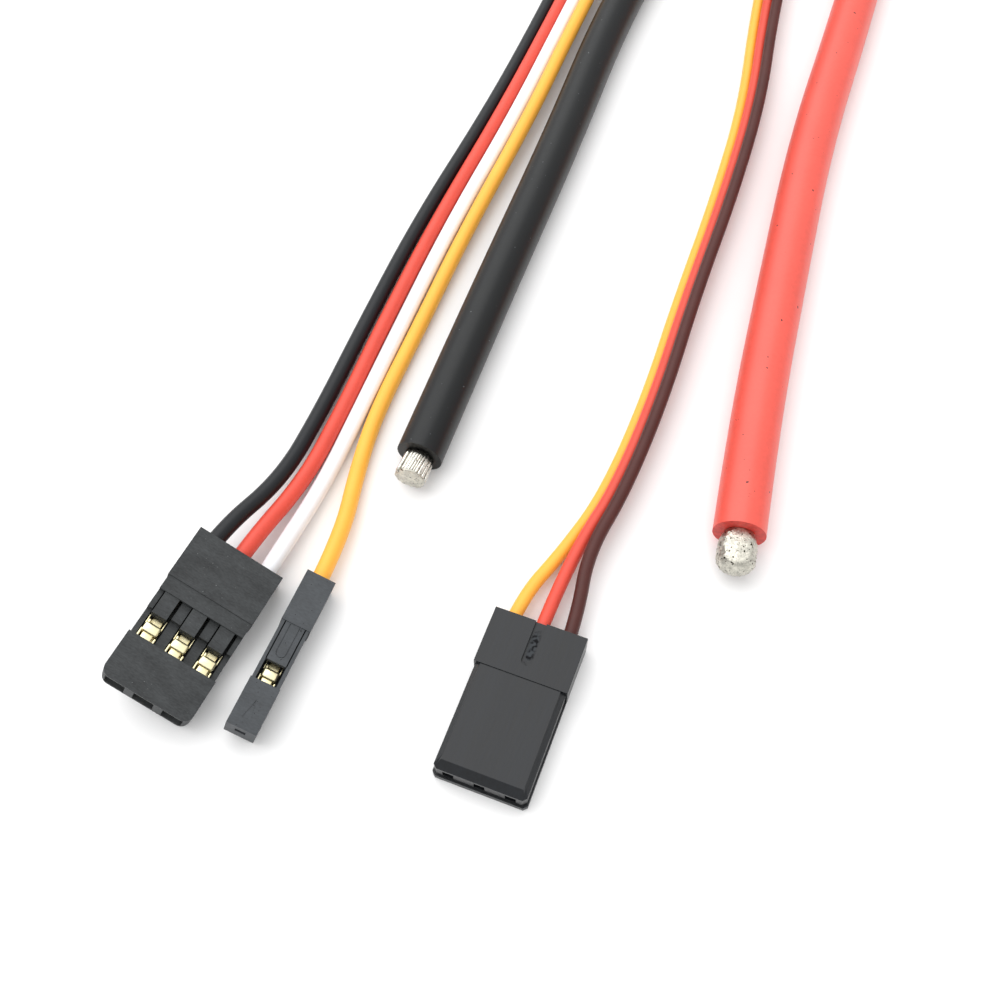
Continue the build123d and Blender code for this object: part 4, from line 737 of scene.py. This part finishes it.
def make_lead(name, points, radius, slot_name, with_pieces):
    """A free lead on one smooth spline, with the route's points as its control points.

    radius is in millimetres; with_pieces, what it carries at its far end, is not used.
    """
    curve = bpy.data.curves.new(name + "_insulation", "CURVE")
    curve.dimensions = "3D"
    spline = curve.splines.new("NURBS")
    spline.points.add(len(points) - 1)
    for target, point in zip(spline.points, points):
        target.co = (*(Vector(point) * MM), 1.0)
    spline.order_u = 3
    spline.use_endpoint_u = True
    spline.use_smooth = True
    curve.resolution_u = STEPS_ALONG
    curve.bevel_depth = radius * MM
    curve.bevel_resolution = STEPS_AROUND
    curve.use_fill_caps = True
    curve.materials.append(MATERIALS[slot_name])
    obj = bpy.data.objects.new(name + "_insulation", curve)
    bpy.context.scene.collection.objects.link(obj)
    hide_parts(name)
    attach(obj, BODY)


make_lead("black_lead", BLACK_LEAD, BLACK_RADIUS, "black_silicone",
          [make_strands(BLACK_LEAD), make_cut_plate(BLACK_LEAD)])
make_lead("red_lead", RED_LEAD, RED_RADIUS, "red_silicone",
          [make_solder_tip(RED_LEAD)])
# Darker colours of the cut faces, painted shade of the lead ends
for slot_name, points, shaded_cut_color in (
    ("black_silicone", BLACK_LEAD, srgb(8, 9, 10)),
    ("red_silicone", RED_LEAD, srgb(212, 66, 58)),
):
    paint_cut_face_shade(MATERIALS[slot_name], end_direction(points), shaded_cut_color)
for name, points, slot_name, length, plug, number in (
    ("ribbon_black", RIBBON_BLACK, "black_wire", 138, "receiver", "_1"),
    ("ribbon_red", RIBBON_RED, "red_wire", 139, "receiver", "_2"),
    ("ribbon_white", RIBBON_WHITE, "white_wire", 139, "receiver", "_3"),
    ("ribbon_yellow", RIBBON_YELLOW, "yellow_wire", 139, "rpm", ""),
    ("supply_yellow", SUPPLY_YELLOW, "yellow_wire", 142, "supply", "_1"),
    ("supply_red", SUPPLY_RED, "red_wire", 142, "supply", "_2"),
    ("supply_brown", SUPPLY_BROWN, "brown_wire", 143, "supply", "_3"),
):
    radius = SUPPLY_WIRE_RADIUS if plug == "supply" else RIBBON_WIRE_RADIUS
    held = [contacts[plug + "_contact" + number], plug + "_housing"]
    make_lead(name, points, radius, slot_name, held)


# ---------------------------------------------------------------- floor and light

FLOOR_HALF = 3.0
SKY_STRENGTH = 1.3
SKY_LOW = (0.36, 0.36, 0.36, 1.0)
WHITE_FROM = 0.9
KEY_LIGHT_AT = (-0.35, 0.25, 0.7)
KEY_LIGHT_SIZE = 1.2
KEY_LIGHT_POWER = 6.5

floor_mesh = bpy.data.meshes.new("floor")
corners = [(x * FLOOR_HALF, y * FLOOR_HALF, 0.0) for x, y in ((-1, -1), (1, -1), (1, 1), (-1, 1))]
floor_mesh.from_pydata(corners, [], [(0, 1, 2, 3)])
floor_mesh.materials.append(MATERIALS["mat_floor"])
floor = bpy.data.objects.new("floor", floor_mesh)
bpy.context.scene.collection.objects.link(floor)

world = bpy.data.worlds.new("world")
world.use_nodes = True
tree = world.node_tree
direction = tree.nodes.new("ShaderNodeTexCoord")
split = tree.nodes.new("ShaderNodeSeparateXYZ")
tree.links.new(direction.outputs["Generated"], split.inputs["Vector"])
sky = add_ramp(tree, split.outputs["Z"], [(0.0, SKY_LOW), (WHITE_FROM, WHITE)])
tree.links.new(sky, tree.nodes["Background"].inputs["Color"])
tree.nodes["Background"].inputs["Strength"].default_value = SKY_STRENGTH
bpy.context.scene.world = world

key_data = bpy.data.lights.new("key", "AREA")
key_data.size = KEY_LIGHT_SIZE
key_data.energy = KEY_LIGHT_POWER
key_light = bpy.data.objects.new("key", key_data)
key_light.location = KEY_LIGHT_AT
aim(key_light, LOOK_AT)
bpy.context.scene.collection.objects.link(key_light)
bpy.context.scene.view_settings.view_transform = "Standard"
